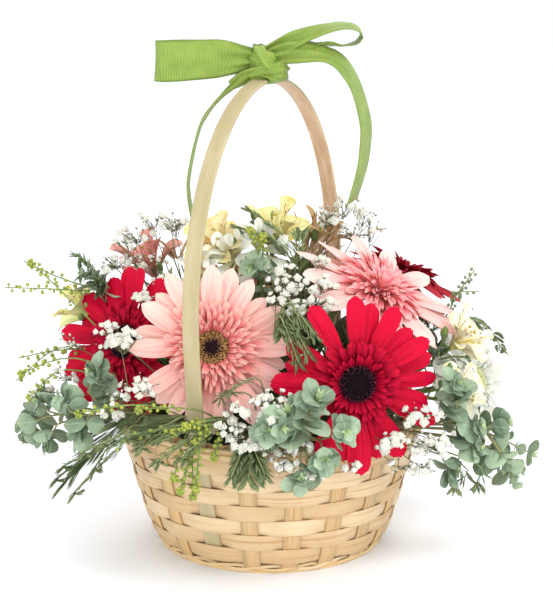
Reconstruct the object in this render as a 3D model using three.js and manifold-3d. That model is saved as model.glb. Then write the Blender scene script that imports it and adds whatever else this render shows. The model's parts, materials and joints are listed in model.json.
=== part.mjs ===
// A round basket woven from bamboo strip, with a hoop handle and a ribbon bow.
// It is filled with cut flowers and foliage in floral foam.
// Millimetres, +Z up, the front faces -Y. The origin is the centre of the basket's flat underside.

import * as THREE from 'three';
import { mergeVertices } from 'three/addons/utils/BufferGeometryUtils.js';
import Module from 'manifold-3d';

const wasm = await Module();
wasm.setup();

// Driving dimensions.
const GAP = 0.35; // clearance between neighbouring pieces
const FOOT_RADIUS = 80;
const RIM_RADIUS = 109;
const BASKET_HEIGHT = 96;
const FLARE_POWER = 0.8; // how early the wall flares
const WALL = 4.5;
const FLOOR = 4;
const STAKES = 20;
const ROWS = 7;
const ROW_PITCH = 11.4;
const FIRST_ROW = 9; // height of the lowest row's lower edge
const ROW_GAP = 0.8; // between one row and the next
const WEAVE_RELIEF = 2.2; // how far a strip bows out over a stake
const FOOT_PLUG_RADIUS = 74.7; // the wall steps in where the foot's hoop goes round it
const FOOT_HOOP_HEIGHT = 7;
const FOOT_HOOP_INSIDE = 76;
const FOOT_HOOP_OUTSIDE = 81.5;
const FOOT_HOOP_BULGE = 83; // its radius at the widest
const RIM_HOOP_HEIGHT = 7.5;
const RIM_HOOP_WALL = 2.5;
const RIM_HOOP_STAND = 1.4; // how far the outer band stands off the wall
const RIM_ABOVE = 1; // the bands end this far above the wall
const HANDLE_WIDTH = 12;
const HANDLE_THICKNESS = 2.5;
const HANDLE_TOP = 334; // height of the hoop's outer face
const HANDLE_SPRING = 180; // height where the straight legs turn into the arch
const HANDLE_REACH = 112.5; // half the arch's width
const HANDLE_LEAN = -3.5; // the arch stands this far towards the front leg
const HANDLE_TURN = THREE.MathUtils.degToRad(26.5); // the hoop's plane, from +Y towards +X
const HANDLE_SEAT = 0.3; // its outer face stands this far out of the bare wall
const LEG_HEIGHTS = [12, 40, 68]; // points of a leg inside the weave
const LINER_WALL = 1.4;
const LINER_CLEARANCE = 0.9; // between the liner and the basket's inside
const FOAM_RADIUS = 64;
const FOAM_TOP = 114;
const BLADE = 0.9; // thickness of petals and leaves
const ROUTE_TRIES = 160; // lines tried for a stem among the other pieces
const ROUTE_REACH = 30; // how far the last of them bends aside
const RIBBON_WIDTH = 27;
const RIBBON_THICKNESS = 0.9;

const BAMBOO = { color: 0xdcb27a, roughness: 0.6, metalness: 0 };
const BAMBOO_GREEN = { color: 0xd9cc8f, roughness: 0.5, metalness: 0 };
const RIBBON_GREEN = { color: 0x8fae3f, roughness: 0.7, metalness: 0 };
const LINER_CLEAR = { color: 0xc9cfc4, roughness: 0.3, metalness: 0 };
const FOAM_GREEN = { color: 0x3f5f35, roughness: 0.95, metalness: 0 };
const PETAL_PINK = { color: 0xf0b7a8, roughness: 0.6, metalness: 0 };
const PETAL_RED = { color: 0xc8102e, roughness: 0.55, metalness: 0 };
const PETAL_DARK_RED = { color: 0x8c1420, roughness: 0.6, metalness: 0 };
const PETAL_WHITE = { color: 0xf1f0ea, roughness: 0.6, metalness: 0 };
const PETAL_CREAM = { color: 0xf0e6a4, roughness: 0.6, metalness: 0 };
const PETAL_DUSTY = { color: 0xc98a80, roughness: 0.6, metalness: 0 };
const DISC_DARK = { color: 0x24161a, roughness: 0.9, metalness: 0 };
const DISC_BROWN = { color: 0x6b4a2c, roughness: 0.9, metalness: 0 };
const DISC_GREEN = { color: 0xa9b05a, roughness: 0.9, metalness: 0 };
const STEM_GREEN = { color: 0x5f7a3a, roughness: 0.7, metalness: 0 };
const EUCALYPTUS = { color: 0x76937c, roughness: 0.7, metalness: 0 };
const ACACIA = { color: 0x5c7348, roughness: 0.8, metalness: 0 };
const BUD_GREEN = { color: 0x9aa343, roughness: 0.7, metalness: 0 };
const BREATH_WHITE = { color: 0xeeeee6, roughness: 0.8, metalness: 0 };

// Small helpers.
const vec = (p) => new THREE.Vector3(...p);
const AXIS_X = vec([1, 0, 0]);
const AXIS_Y = vec([0, 1, 0]);
const AXIS_Z = vec([0, 0, 1]);

// A repeatable draw between 0 and 1.
function seeded(seed) {
  let state = seed;
  return () => {
    state = (state * 16807) % 2147483647;
    return state / 2147483647;
  };
}

// A unit vector across the given direction.
function across(direction) {
  const other = Math.abs(direction.z) > 0.9 ? AXIS_Y : AXIS_Z;
  return new THREE.Vector3().crossVectors(other, direction).normalize();
}

// The frame of a bloom: its origin, with +Z the way that it faces.
function bloomFrame(at, faces) {
  const z = vec(faces).normalize();
  const x = across(z);
  const y = new THREE.Vector3().crossVectors(z, x);
  return new THREE.Matrix4().makeBasis(x, y, z).setPosition(...at);
}

function signedVolume(points, triangles) {
  let sum = 0;
  for (let i = 0; i < triangles.length; i += 3) {
    const [a, b, c] = [0, 1, 2].map((k) => points[triangles[i + k]]);
    sum += a.dot(new THREE.Vector3().crossVectors(b, c));
  }
  return sum / 6;
}

// Solids.
function solidFromLists(points, triangles) {
  const turned = signedVolume(points, triangles) < 0;
  const triVerts = new Uint32Array(triangles);
  if (turned) for (let i = 0; i < triVerts.length; i += 3) triVerts.subarray(i, i + 3).reverse();
  const vertProperties = new Float32Array(points.flatMap((p) => p.toArray()));
  return new wasm.Manifold(new wasm.Mesh({ numProp: 3, vertProperties, triVerts }));
}

function solidFromGeometry(geometry) {
  const bare = geometry.clone();
  bare.deleteAttribute('normal');
  bare.deleteAttribute('uv');
  const merged = mergeVertices(bare, 1e-4);
  const position = merged.attributes.position;
  const points = [];
  for (let i = 0; i < position.count; i++) points.push(new THREE.Vector3().fromBufferAttribute(position, i));
  const triangles = [];
  for (let i = 0; i < merged.index.count; i += 3) {
    const corner = [0, 1, 2].map((k) => merged.index.getX(i + k));
    if (new Set(corner).size === 3) triangles.push(...corner);
  }
  return solidFromLists(points, triangles);
}

function geometryFromSolid(solid) {
  const { vertProperties, triVerts } = solid.getMesh();
  const geometry = new THREE.BufferGeometry();
  geometry.setAttribute('position', new THREE.BufferAttribute(vertProperties, 3));
  geometry.setIndex(new THREE.BufferAttribute(triVerts, 1));
  geometry.computeVertexNormals();
  return geometry;
}

const placedBy = (solid, matrix) => solid.transform(matrix.elements);

// Rings of points joined one after another, with a flat cap at each end.
function loft(rings) {
  const sides = rings[0].length;
  const triangles = [];
  for (let i = 0; i + 1 < rings.length; i++) {
    for (let k = 0; k < sides; k++) {
      const next = (k + 1) % sides;
      const [a, b, c, d] = [i * sides + k, i * sides + next, (i + 1) * sides + next, (i + 1) * sides + k];
      triangles.push(a, b, c, a, c, d);
    }
  }
  const last = (rings.length - 1) * sides;
  for (let k = 1; k + 1 < sides; k++) triangles.push(0, k + 1, k, last, last + k, last + k + 1);
  return solidFromLists(rings.flat(), triangles);
}

// The long sides of a blade whose corners start at the given point, four to a station.
function bladeSides(first, count) {
  const triangles = [];
  for (let i = 0; i + 1 < count; i++) {
    const [lt, rt, lb, rb] = [0, 1, 2, 3].map((k) => first + i * 4 + k);
    const [lt1, rt1, lb1, rb1] = [lt, rt, lb, rb].map((k) => k + 4);
    triangles.push(lt, rt, rt1, lt, rt1, lt1, lb, rb1, rb, lb, lb1, rb1);
    triangles.push(lt, lt1, lb1, lt, lb1, lb, rt, rb, rb1, rt, rb1, rt1);
  }
  return triangles;
}

function bladeTip(first, count) {
  const e = first + (count - 1) * 4;
  return [e, e + 1, e + 3, e, e + 3, e + 2];
}

// A thin blade through stations of { left, right, normal }, split into triangles alike on both faces.
function blade(stations, thickness = BLADE) {
  const points = stations.flatMap(({ left, right, normal }) => {
    const lift = normal.clone().multiplyScalar(thickness / 2);
    return [left, right, left, right].map((p, k) => (k < 2 ? p.clone().add(lift) : p.clone().sub(lift)));
  });
  const root = [0, 2, 3, 0, 3, 1];
  const count = stations.length;
  return solidFromLists(points, [...root, ...bladeSides(0, count), ...bladeTip(0, count)]);
}

// The stations of a petal or leaf that runs along +X from its root, with +Z its upper face.
// The outline lists [share of the length, share of the width].
function bladeStations({ length, width, lift = 0, rise = 0, droop = 0, outline }) {
  const slope = Math.tan(lift);
  return outline.map(([t, share]) => {
    const centre = vec([length * t * Math.cos(lift), 0, length * (t * slope + rise * t - droop * t * t)]);
    const tangent = vec([Math.cos(lift), 0, slope + rise - 2 * droop * t]).normalize();
    const normal = new THREE.Vector3().crossVectors(tangent, AXIS_Y);
    const half = AXIS_Y.clone().multiplyScalar((width * share) / 2);
    return { left: centre.clone().add(half), right: centre.clone().sub(half), normal };
  });
}

const movedStations = (stations, matrix) =>
  stations.map(({ left, right, normal }) => ({
    left: left.clone().applyMatrix4(matrix),
    right: right.clone().applyMatrix4(matrix),
    normal: normal.clone().transformDirection(matrix),
  }));

// A ring of petals, in the order of their angles, that all grow out of the rim of one thin hub.
function corolla(petals, hubHeight) {
  const points = [];
  const triangles = [];
  const roots = petals.map((stations) => {
    const first = points.length;
    for (const { left, right, normal } of stations) {
      const lift = normal.clone().multiplyScalar(BLADE / 2);
      for (const sign of [1, -1]) {
        points.push(...[left, right].map((p) => p.clone().addScaledVector(lift, sign)));
      }
    }
    triangles.push(...bladeSides(first, stations.length), ...bladeTip(first, stations.length));
    return first;
  });
  const top = points.length;
  points.push(vec([0, 0, hubHeight + BLADE / 2]), vec([0, 0, hubHeight - BLADE / 2]));
  roots.forEach((root, i) => {
    const [lt, rt, lb, rb] = [0, 1, 2, 3].map((k) => root + k);
    const [nextRt, nextRb] = [1, 3].map((k) => roots[(i + 1) % roots.length] + k);
    triangles.push(top, rt, lt, top, lt, nextRt, top + 1, lb, rb, top + 1, nextRb, lb);
    triangles.push(lt, lb, nextRb, lt, nextRb, nextRt);
  });
  return solidFromLists(points, triangles);
}

// A round rod along a smooth line through the points, led back straight from its root by a length.
function rod(points, radius, sides = 3, steps = 5, tipRadius = radius, lead = 0) {
  const curve = new THREE.CatmullRomCurve3(points.map(vec), false, 'catmullrom', 0.5);
  const rings = [];
  let side = null;
  for (let i = 0; i <= steps; i++) {
    const tangent = curve.getTangent(i / steps);
    const centre = curve.getPoint(i / steps);
    side = side ? side.clone().addScaledVector(tangent, -side.dot(tangent)).normalize() : across(tangent);
    const up = new THREE.Vector3().crossVectors(tangent, side);
    const r = radius + ((tipRadius - radius) * i) / steps;
    const ring = [];
    for (let k = 0; k < sides; k++) {
      const a = (2 * Math.PI * k) / sides;
      ring.push(centre.clone().addScaledVector(side, r * Math.cos(a)).addScaledVector(up, r * Math.sin(a)));
    }
    rings.push(ring);
  }
  const back = curve.getTangent(0).multiplyScalar(-lead);
  if (lead) rings.unshift(rings[0].map((p) => p.clone().add(back)));
  return loft(rings);
}

// A body of revolution about Z from a closed profile of [radius, height].
function turned(profile, segments) {
  const outline = [...profile, profile[0]].map(([r, z]) => new THREE.Vector2(r, z));
  const geometry = new THREE.LatheGeometry(outline, segments);
  return solidFromGeometry(geometry.rotateX(Math.PI / 2));
}

// Turned bodies that share the basket's seams start at the front leg of the handle.
function turnedWithBasket(profile, segments) {
  const degrees = THREE.MathUtils.radToDeg(frontLegAngle) + 90;
  return turned(profile, segments).rotate([0, 0, degrees]);
}

// The model and what is already in it.
const arrangement = new THREE.Group();
arrangement.name = 'flower_basket_arrangement';
const group = (name) => {
  const made = new THREE.Group();
  made.name = name;
  arrangement.add(made);
  return made;
};
const basketGroup = group('basket');
const ribbonGroup = group('ribbon');
const bloomGroup = group('blooms');
const sprayGroup = group('sprays');

const placed = [];
const stemHoles = [];

function isClear(solid, gap = GAP) {
  const box = solid.boundingBox();
  return placed.every((other) => {
    const apart = [0, 1, 2].some(
      (k) => box.min[k] > other.box.max[k] + gap || other.box.min[k] > box.max[k] + gap,
    );
    return apart || solid.minGap(other.solid, gap) >= gap;
  });
}

// The largest single body of a solid.
function oneBody(solid) {
  const bodies = solid.decompose();
  return bodies.reduce((best, body) => (body.volume() > best.volume() ? body : best));
}

// Adds a solid as a named mesh. Its geometry is kept in the given frame.
function addPiece(name, solid, finish, parent, frame = new THREE.Matrix4()) {
  const body = oneBody(solid);
  placed.push({ name, solid: body, box: body.boundingBox() });
  const local = placedBy(body, frame.clone().invert());
  const mesh = new THREE.Mesh(geometryFromSolid(local), new THREE.MeshStandardMaterial(finish));
  mesh.name = name;
  mesh.applyMatrix4(frame);
  parent.add(mesh);
  return body;
}

// The middle of a rod at a share of its length, the way along and two directions across.
function rodLine(points, steps) {
  const curve = new THREE.CatmullRomCurve3(points.map(vec), false, 'catmullrom', 0.5);
  const at = (share) => {
    const step = Math.min(Math.floor(share * steps), steps - 1);
    const [start, end] = [step / steps, (step + 1) / steps].map((t) => curve.getPoint(t));
    const tangent = end.clone().sub(start).normalize();
    const side = across(tangent);
    const point = start.lerp(end, share * steps - step);
    return { point, tangent, side, up: new THREE.Vector3().crossVectors(tangent, side) };
  };
  return { at };
}

// The first rod that is clear of everything, with the middle points of its line bent aside in growing steps.
function clearRod(points, radius, sides, steps, tipRadius) {
  const draw = seeded(Math.round(1000 * Math.abs(points[0][0] + points.at(-1)[0])) + 17);
  for (let attempt = 0; attempt < ROUTE_TRIES; attempt++) {
    const reach = (ROUTE_REACH * attempt) / ROUTE_TRIES;
    const bent = points.map((p, i) => {
      const end = i === 0 || i + 1 === points.length;
      return end ? p : p.map((value) => value + 2 * reach * (draw() - 0.5));
    });
    const made = rod(bent, radius, sides, steps, tipRadius);
    if (isClear(made)) {
      stemHoles.push(rod(bent, radius + 2 * GAP, sides, steps, (tipRadius ?? radius) + 2 * GAP, 2 * GAP));
      return { solid: made, ...rodLine(bent, steps) };
    }
  }
  return null;
}

function neededRod(name, points, ...sizes) {
  const made = clearRod(points, ...sizes);
  if (!made) throw new Error(name + ': no clear way from ' + points[0] + ' to ' + points.at(-1));
  return made;
}

// The basket.
const flare = (z) => (Math.max(z, 0) / BASKET_HEIGHT) ** FLARE_POWER;
const wallRadius = (z) => FOOT_RADIUS + (RIM_RADIUS - FOOT_RADIUS) * flare(z);
const hoopAlong = vec([Math.sin(HANDLE_TURN), Math.cos(HANDLE_TURN), 0]);
const hoopAcross = vec([hoopAlong.y, -hoopAlong.x, 0]);
const frontLegAngle = Math.atan2(-hoopAlong.y, -hoopAlong.x);

// The hollow of the basket, as [radius, height] up its side.
const INNER_WALL = [16, BASKET_HEIGHT + RIM_ABOVE].map((z) => [wallRadius(z) - WALL, z]);
const CAVITY = [[68, FLOOR], [72, 9], ...INNER_WALL];

// One turned-up strip weaves outside a stake on one row and inside it on the next.
function weave() {
  const perStake = 2;
  const columns = STAKES * perStake;
  const levels = [[0, null], [FOOT_HOOP_HEIGHT + GAP, null]];
  for (let row = 0; row < ROWS; row++) {
    const low = FIRST_ROW + row * ROW_PITCH;
    levels.push([low, row], [low + ROW_PITCH - ROW_GAP, row]);
  }
  const top = FIRST_ROW + ROWS * ROW_PITCH;
  levels.push([top, null], [BASKET_HEIGHT - 3, null]);
  const rings = levels.map(([z, row], level) => {
    const ring = [];
    for (let column = 0; column < columns; column++) {
      const angle = frontLegAngle + (2 * Math.PI * column) / columns;
      const overStake = column % perStake === 0 && (column / perStake + row) % 2 === 0;
      const r = level < 2 ? FOOT_PLUG_RADIUS : wallRadius(z) + (row !== null && overStake ? WEAVE_RELIEF : 0);
      ring.push(vec([r * Math.cos(angle), r * Math.sin(angle), z]));
    }
    return ring;
  });
  const inside = [[0, FLOOR], ...CAVITY, [0, BASKET_HEIGHT + RIM_ABOVE]];
  return loft(rings).subtract(turnedWithBasket(inside, 20));
}

// The hoop's line in its own plane: [along the plane, height], from inside the wall at the front to the back.
function handleLine() {
  const seat = HANDLE_SEAT - HANDLE_THICKNESS / 2;
  const leg = [...LEG_HEIGHTS, BASKET_HEIGHT].map((z) => [wallRadius(z) + seat, z]);
  const rise = (HANDLE_SPRING + BASKET_HEIGHT) / 2;
  const front = [...leg, [wallRadius(BASKET_HEIGHT) + 4, rise]].map(([s, z]) => [-s, z]);
  const back = [...leg, [wallRadius(BASKET_HEIGHT) + 0.5, rise]].reverse();
  const arch = [];
  const steps = 16;
  const topLine = HANDLE_TOP - HANDLE_THICKNESS / 2;
  for (let i = 0; i <= steps; i++) {
    const a = (Math.PI * i) / steps;
    const along = HANDLE_LEAN - HANDLE_REACH * Math.cos(a);
    arch.push([along, HANDLE_SPRING + (topLine - HANDLE_SPRING) * Math.sin(a)]);
  }
  return [...front, ...arch, ...back];
}

// A flat strip along the hoop's line, grown by a margin all round.
function hoopStrip(line, width, thickness) {
  const rings = line.map(([s, z], i) => {
    const [s0, z0] = line[Math.max(i - 1, 0)];
    const [s1, z1] = line[Math.min(i + 1, line.length - 1)];
    const tangent = hoopAlong.clone().multiplyScalar(s1 - s0).addScaledVector(AXIS_Z, z1 - z0).normalize();
    const out = new THREE.Vector3().crossVectors(tangent, hoopAcross);
    const centre = hoopAlong.clone().multiplyScalar(s).addScaledVector(AXIS_Z, z);
    return [[1, 1], [-1, 1], [-1, -1], [1, -1]].map(([a, b]) =>
      centre.clone().addScaledVector(hoopAcross, (a * width) / 2).addScaledVector(out, (b * thickness) / 2),
    );
  });
  return loft(rings);
}

function buildBasket() {
  const line = handleLine();
  const below = ([s, z]) => [s, z - 2 * GAP];
  const slotLine = [below(line[0]), ...line, below(line.at(-1))];
  const slot = hoopStrip(slotLine, HANDLE_WIDTH + 2 * GAP, HANDLE_THICKNESS + 2 * GAP);
  addPiece('basket_weave', weave().subtract(slot), BAMBOO, basketGroup);
  addPiece('handle', hoopStrip(line, HANDLE_WIDTH, HANDLE_THICKNESS), BAMBOO_GREEN, basketGroup);

  const foot = [
    [FOOT_HOOP_INSIDE, 0],
    [FOOT_HOOP_OUTSIDE, 0],
    [FOOT_HOOP_BULGE, 0.37 * FOOT_HOOP_HEIGHT],
    [FOOT_HOOP_OUTSIDE, FOOT_HOOP_HEIGHT],
    [FOOT_HOOP_INSIDE, FOOT_HOOP_HEIGHT],
  ];
  addPiece('foot_hoop', turnedWithBasket(foot, 24), BAMBOO, basketGroup);

  const high = BASKET_HEIGHT + RIM_ABOVE;
  const low = high - RIM_HOOP_HEIGHT;
  const ring = (offset) => [
    [wallRadius(low) + offset, low],
    [wallRadius(low) + offset + RIM_HOOP_WALL, low],
    [wallRadius(high) + offset + RIM_HOOP_WALL, high],
    [wallRadius(high) + offset, high],
  ];
  const inner = -WALL - 2.3 * GAP - RIM_HOOP_WALL;
  addPiece('rim_hoop_outer', turnedWithBasket(ring(RIM_HOOP_STAND), 40), BAMBOO, basketGroup);
  addPiece('rim_hoop_inner', turnedWithBasket(ring(inner), 20), BAMBOO, basketGroup);

  const brim = low - 1;
  const skin = CAVITY.slice(0, -1).map(([r, z], i) => [r - LINER_CLEARANCE, z + (i ? 0 : GAP)]);
  skin.push([wallRadius(brim) - WALL - LINER_CLEARANCE, brim]);
  const hollow = skin.map(([r, z], i) => [r - LINER_WALL, z + (i ? 0 : LINER_WALL)]).reverse();
  const liner = [[0, skin[0][1]], ...skin, ...hollow, [0, hollow.at(-1)[1]]];
  addPiece('liner', turnedWithBasket(liner, 20), LINER_CLEAR, basketGroup);
}

// The foam stands in the liner and takes every stem in a hole of its own.
function buildFoam() {
  const base = FLOOR + LINER_WALL + 2 * GAP;
  const shoulder = [[FOAM_RADIUS + 2, FOAM_TOP - 12], [FOAM_RADIUS - 10, FOAM_TOP]];
  const block = turned([[0, base], [FOAM_RADIUS, base], ...shoulder, [0, FOAM_TOP]], 12);
  addPiece('floral_foam', block.subtract(wasm.Manifold.union(stemHoles)), FOAM_GREEN, basketGroup);
}

// The ribbon is one length: a wrap round the handle, a knot on it, two loops and two tails.
function ribbonRun(run) {
  const stations = run.map(([at, width, share], i) => {
    const before = vec(run[Math.max(i - 1, 0)][0]);
    const after = vec(run[Math.min(i + 1, run.length - 1)][0]);
    const tangent = after.sub(before).normalize();
    const wide = vec(width).addScaledVector(tangent, -vec(width).dot(tangent)).normalize();
    const half = (RIBBON_WIDTH * share) / 2;
    const [left, right] = [half, -half].map((aside) => vec(at).addScaledVector(wide, aside));
    return { left, right, normal: new THREE.Vector3().crossVectors(tangent, wide) };
  });
  return blade(stations, RIBBON_THICKNESS);
}

const RIBBON_KNOT = { at: [-5, -2, 346], half: [12, 10, 10] };
const RIBBON_COLLAR = { at: [-5, -3, 338], size: [12, 9, 8] }; // ties the knot to the wrap round the handle
const LEFT_LOOP = [
  [[-6, -2, 347], [0.2, 0, 1], 0.4],
  [[-18, -8, 348], [0.1, 0, 1], 0.62],
  [[-34, -15, 348], [0.03, 0, 1], 0.95],
  [[-58, -24, 347], [0.03, 0, 1], 1],
  [[-74, -27, 346.5], [0.05, 0, 1], 1.02],
  [[-78, -22, 346.5], [0.05, 0, 1], 1.02],
  [[-73, -16, 346.5], [0.05, 0, 1], 1.02],
  [[-58, -11, 347], [0.03, 0, 1], 1],
  [[-32, -4, 347], [0.03, 0, 1], 0.9],
  [[-6, 1, 346], [0.2, 0, 1], 0.4],
];
const RIGHT_LOOP = [
  [[-4, -2.5, 350], [-0.3, 0.3, 1], 0.35],
  [[11, -2, 357], [-0.2, 0.5, 0.9], 0.5],
  [[23, -1, 362.5], [-0.1, 0.9, 0.5], 0.65],
  [[38, 1, 367.5], [-0.05, 1, 0.25], 0.85],
  [[50, 4, 369.5], [0, 1, 0.15], 0.95],
  [[59, 6, 368], [0, 1, 0.12], 0.95],
  [[63.5, 8, 363], [0, 1, 0.1], 0.95],
  [[60, 8, 357.5], [0, 1, 0.05], 0.95],
  [[50, 7, 355.5], [0, 1, -0.05], 0.95],
  [[36, 5, 357], [0, 1, -0.15], 0.85],
  [[18, 2, 355], [-0.1, 0.7, 0.6], 0.55],
  [[-4, 2.5, 348], [-0.3, 0.3, 1], 0.35],
];
const RIGHT_TAIL = [
  [[-3, -3, 347], [-0.2, 0, 1], 0.4],
  [[10, -7, 351], [-0.2, 0.3, 1], 0.55],
  [[24, -10, 352], [0, 0.7, 0.7], 0.7],
  [[38, -9, 350.5], [0.2, 1, 0.4], 0.85],
  [[50, -5, 343], [0.3, 1, 0.25], 0.95],
  [[60, 0, 327], [0.32, 1, 0.05], 1],
  [[67, 4, 302], [0.34, 0.95, 0], 1],
  [[67, 7, 283], [0.34, 0.95, 0], 1],
  [[64.5, 9, 266], [0.34, 0.95, 0.02], 1],
  [[58, 12, 243], [0.34, 0.95, 0.1], 1],
];
const LEFT_TAIL = [
  [[-8, -5, 342], [0.1, 0.9, 0.25], 0.35],
  [[-18, -8, 335], [0.05, 1, 0.1], 0.5],
  [[-33, -18, 323], [0.03, 1, -0.03], 0.8],
  [[-42, -28, 312], [0.03, 1, -0.06], 0.95],
  [[-48, -40, 300], [0.03, 1, -0.06], 1],
  [[-53, -55, 278], [0.03, 1, -0.06], 1],
  [[-54, -62, 262], [0.03, 1, -0.06], 1],
  [[-50, -66, 238], [0.03, 1, -0.06], 1],
];

function buildRibbon() {
  const line = handleLine();
  const grown = hoopStrip(line, HANDLE_WIDTH + 2 * GAP, HANDLE_THICKNESS + 2 * GAP);
  const top = (line.length - 1) / 2;
  const beside = (side) => line[top].map((value, k) => 0.6 * value + 0.4 * line[top + side][k]);
  const wrapWidth = HANDLE_WIDTH + 2 * GAP + 3 * RIBBON_THICKNESS;
  const wrapThickness = HANDLE_THICKNESS + 2 * GAP + 3.7 * RIBBON_THICKNESS;
  const sleeve = hoopStrip([beside(-1), line[top], beside(1)], wrapWidth, wrapThickness);
  const ball = solidFromGeometry(new THREE.DodecahedronGeometry(1));
  const knot = ball.scale(RIBBON_KNOT.half).translate(RIBBON_KNOT.at);
  const collar = solidFromGeometry(new THREE.BoxGeometry(...RIBBON_COLLAR.size)).translate(RIBBON_COLLAR.at);
  const runs = [LEFT_LOOP, RIGHT_LOOP, RIGHT_TAIL, LEFT_TAIL].map(ribbonRun);
  const whole = wasm.Manifold.union([sleeve, knot, collar, ...runs]);
  addPiece('ribbon_bow', whole.subtract(grown), RIBBON_GREEN, ribbonGroup);
}

// Gerbera daisies: a ring of long petals, a ring of short ones, a disc of florets, and a stem with its cup.
const LONG_PETALS = 12;
const LONG_PETAL = [[0, 0.18], [0.6, 1], [1, 0.45]];
const SHORT_PETAL = [[0, 0.22], [1, 1]];
const GERBERAS = [
  { name: 'gerbera_pink_front', at: [-39, -72, 158], faces: [0.02, -0.95, 0.3], radius: 57,
    foot: [-18, -32, 92], petals: PETAL_PINK, disc: DISC_BROWN },
  { name: 'gerbera_red_front', at: [58, -90, 138], faces: [0.12, -0.97, 0.14], radius: 57,
    foot: [24, -34, 88], petals: PETAL_RED, disc: DISC_DARK },
  { name: 'gerbera_pink_right', at: [76, -20, 186], faces: [0.42, -0.35, 0.84], radius: 58,
    foot: [26, -8, 90], petals: PETAL_PINK, disc: DISC_BROWN },
  { name: 'gerbera_red_left', at: [-100, -35, 153], faces: [-0.5, -0.78, 0.38], radius: 56,
    foot: [-40, -12, 92], petals: PETAL_RED, disc: DISC_DARK },
  { name: 'gerbera_dark_red_back', at: [98, 56, 184], faces: [0.35, 0.1, 0.93], radius: 48,
    foot: [34, 20, 90], petals: PETAL_DARK_RED, disc: DISC_DARK },
  { name: 'gerbera_white_right', at: [148, 8, 114], faces: [0.76, -0.55, 0.35], radius: 48,
    foot: [42, 4, 96], petals: PETAL_WHITE, disc: DISC_GREEN },
  { name: 'gerbera_pink_back', at: [-28, 92, 152], faces: [-0.15, 0.88, 0.42], radius: 54,
    foot: [-10, 34, 90], petals: PETAL_PINK, disc: DISC_BROWN },
];
const PETAL_TURNS = [0, 8, -8, 16, -16, 26, -26, 38]; // degrees of extra lift that are tried for a petal

// A petal's stations at an angle round the bloom, lifted or shortened until it's clear of everything else.
function fittingPetal(frame, angle, rootRadius, rootHeight, shape) {
  const seat = new THREE.Matrix4().makeTranslation(rootRadius, 0, rootHeight);
  const turnedSeat = new THREE.Matrix4().makeRotationZ(angle).multiply(seat);
  for (const share of [1, 0.8, 0.6]) {
    for (const turn of PETAL_TURNS) {
      const lift = shape.lift + THREE.MathUtils.degToRad(turn);
      const tried = bladeStations({ ...shape, lift, length: shape.length * share });
      const stations = movedStations(tried, turnedSeat);
      if (isClear(placedBy(blade(stations), frame))) return [stations];
    }
  }
  return [];
}

const HUB_RADIUS = 0.22; // shares of a gerbera's radius
const DISC_RADIUS = 0.19;
const CUP_RADIUS = 0.16;

// Long petals in a full ring, with a short, lifted petal between every second pair.
function gerberaPetals({ name, at, faces, radius, petals }, index) {
  const frame = bloomFrame(at, faces);
  const draw = seeded(101 + index);
  const blades = [];
  for (let i = 0; i < LONG_PETALS; i++) {
    const angle = (2 * Math.PI * i) / LONG_PETALS;
    const long = { length: radius * (0.74 + 0.06 * draw()), width: 0.34 * radius, lift: 0.1 * (draw() - 0.4),
      rise: 0.16, droop: 0.2, outline: LONG_PETAL };
    const short = { length: radius * (0.3 + 0.06 * draw()), width: 0.18 * radius, lift: 0.55,
      rise: 0.1, droop: 0.15, outline: SHORT_PETAL };
    blades.push(...fittingPetal(frame, angle, HUB_RADIUS * radius, -BLADE / 2, long));
    const between = angle + Math.PI / LONG_PETALS;
    if (i % 2) blades.push(...fittingPetal(frame, between, HUB_RADIUS * radius, -BLADE / 2, short));
  }
  addPiece(name + '_petals', placedBy(corolla(blades, -BLADE / 2), frame), petals, bloomGroup, frame);
}

// The disc of florets is a low dome with every other point raised.
function gerberaDisc({ name, at, faces, radius, disc }) {
  const frame = bloomFrame(at, faces);
  const columns = 8;
  const levels = [[DISC_RADIUS, GAP], [DISC_RADIUS, 1.8], [DISC_RADIUS / 2, 3.6]];
  const rings = levels.map(([share, z], level) => {
    const ring = [];
    for (let k = 0; k < columns; k++) {
      const bump = level && (k + level) % 2 ? 0.7 : 0;
      const a = (2 * Math.PI * k) / columns;
      ring.push(vec([share * radius * Math.cos(a), share * radius * Math.sin(a), z + bump]));
    }
    return ring;
  });
  addPiece(name + '_disc', placedBy(loft(rings), frame), disc, bloomGroup, frame);
}

function gerberaStem({ name, at, faces, radius, foot }) {
  const frame = bloomFrame(at, faces);
  const taper = new THREE.CylinderGeometry(CUP_RADIUS * radius, 2.4, 9, 6).rotateX(Math.PI / 2);
  const cup = solidFromGeometry(taper).translate([0, 0, -BLADE - 1.5 * GAP - 4.5]);
  const neck = vec([0, 0, -8]).applyMatrix4(frame);
  const bend = vec([0, 0, -32]).applyMatrix4(frame).lerp(vec(foot), 0.35);
  const { solid } = neededRod(name, [foot, bend.toArray(), neck.toArray()], 2.1, 4, 3);
  addPiece(name + '_stem', solid.add(placedBy(cup, frame)), STEM_GREEN, bloomGroup);
}

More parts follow.
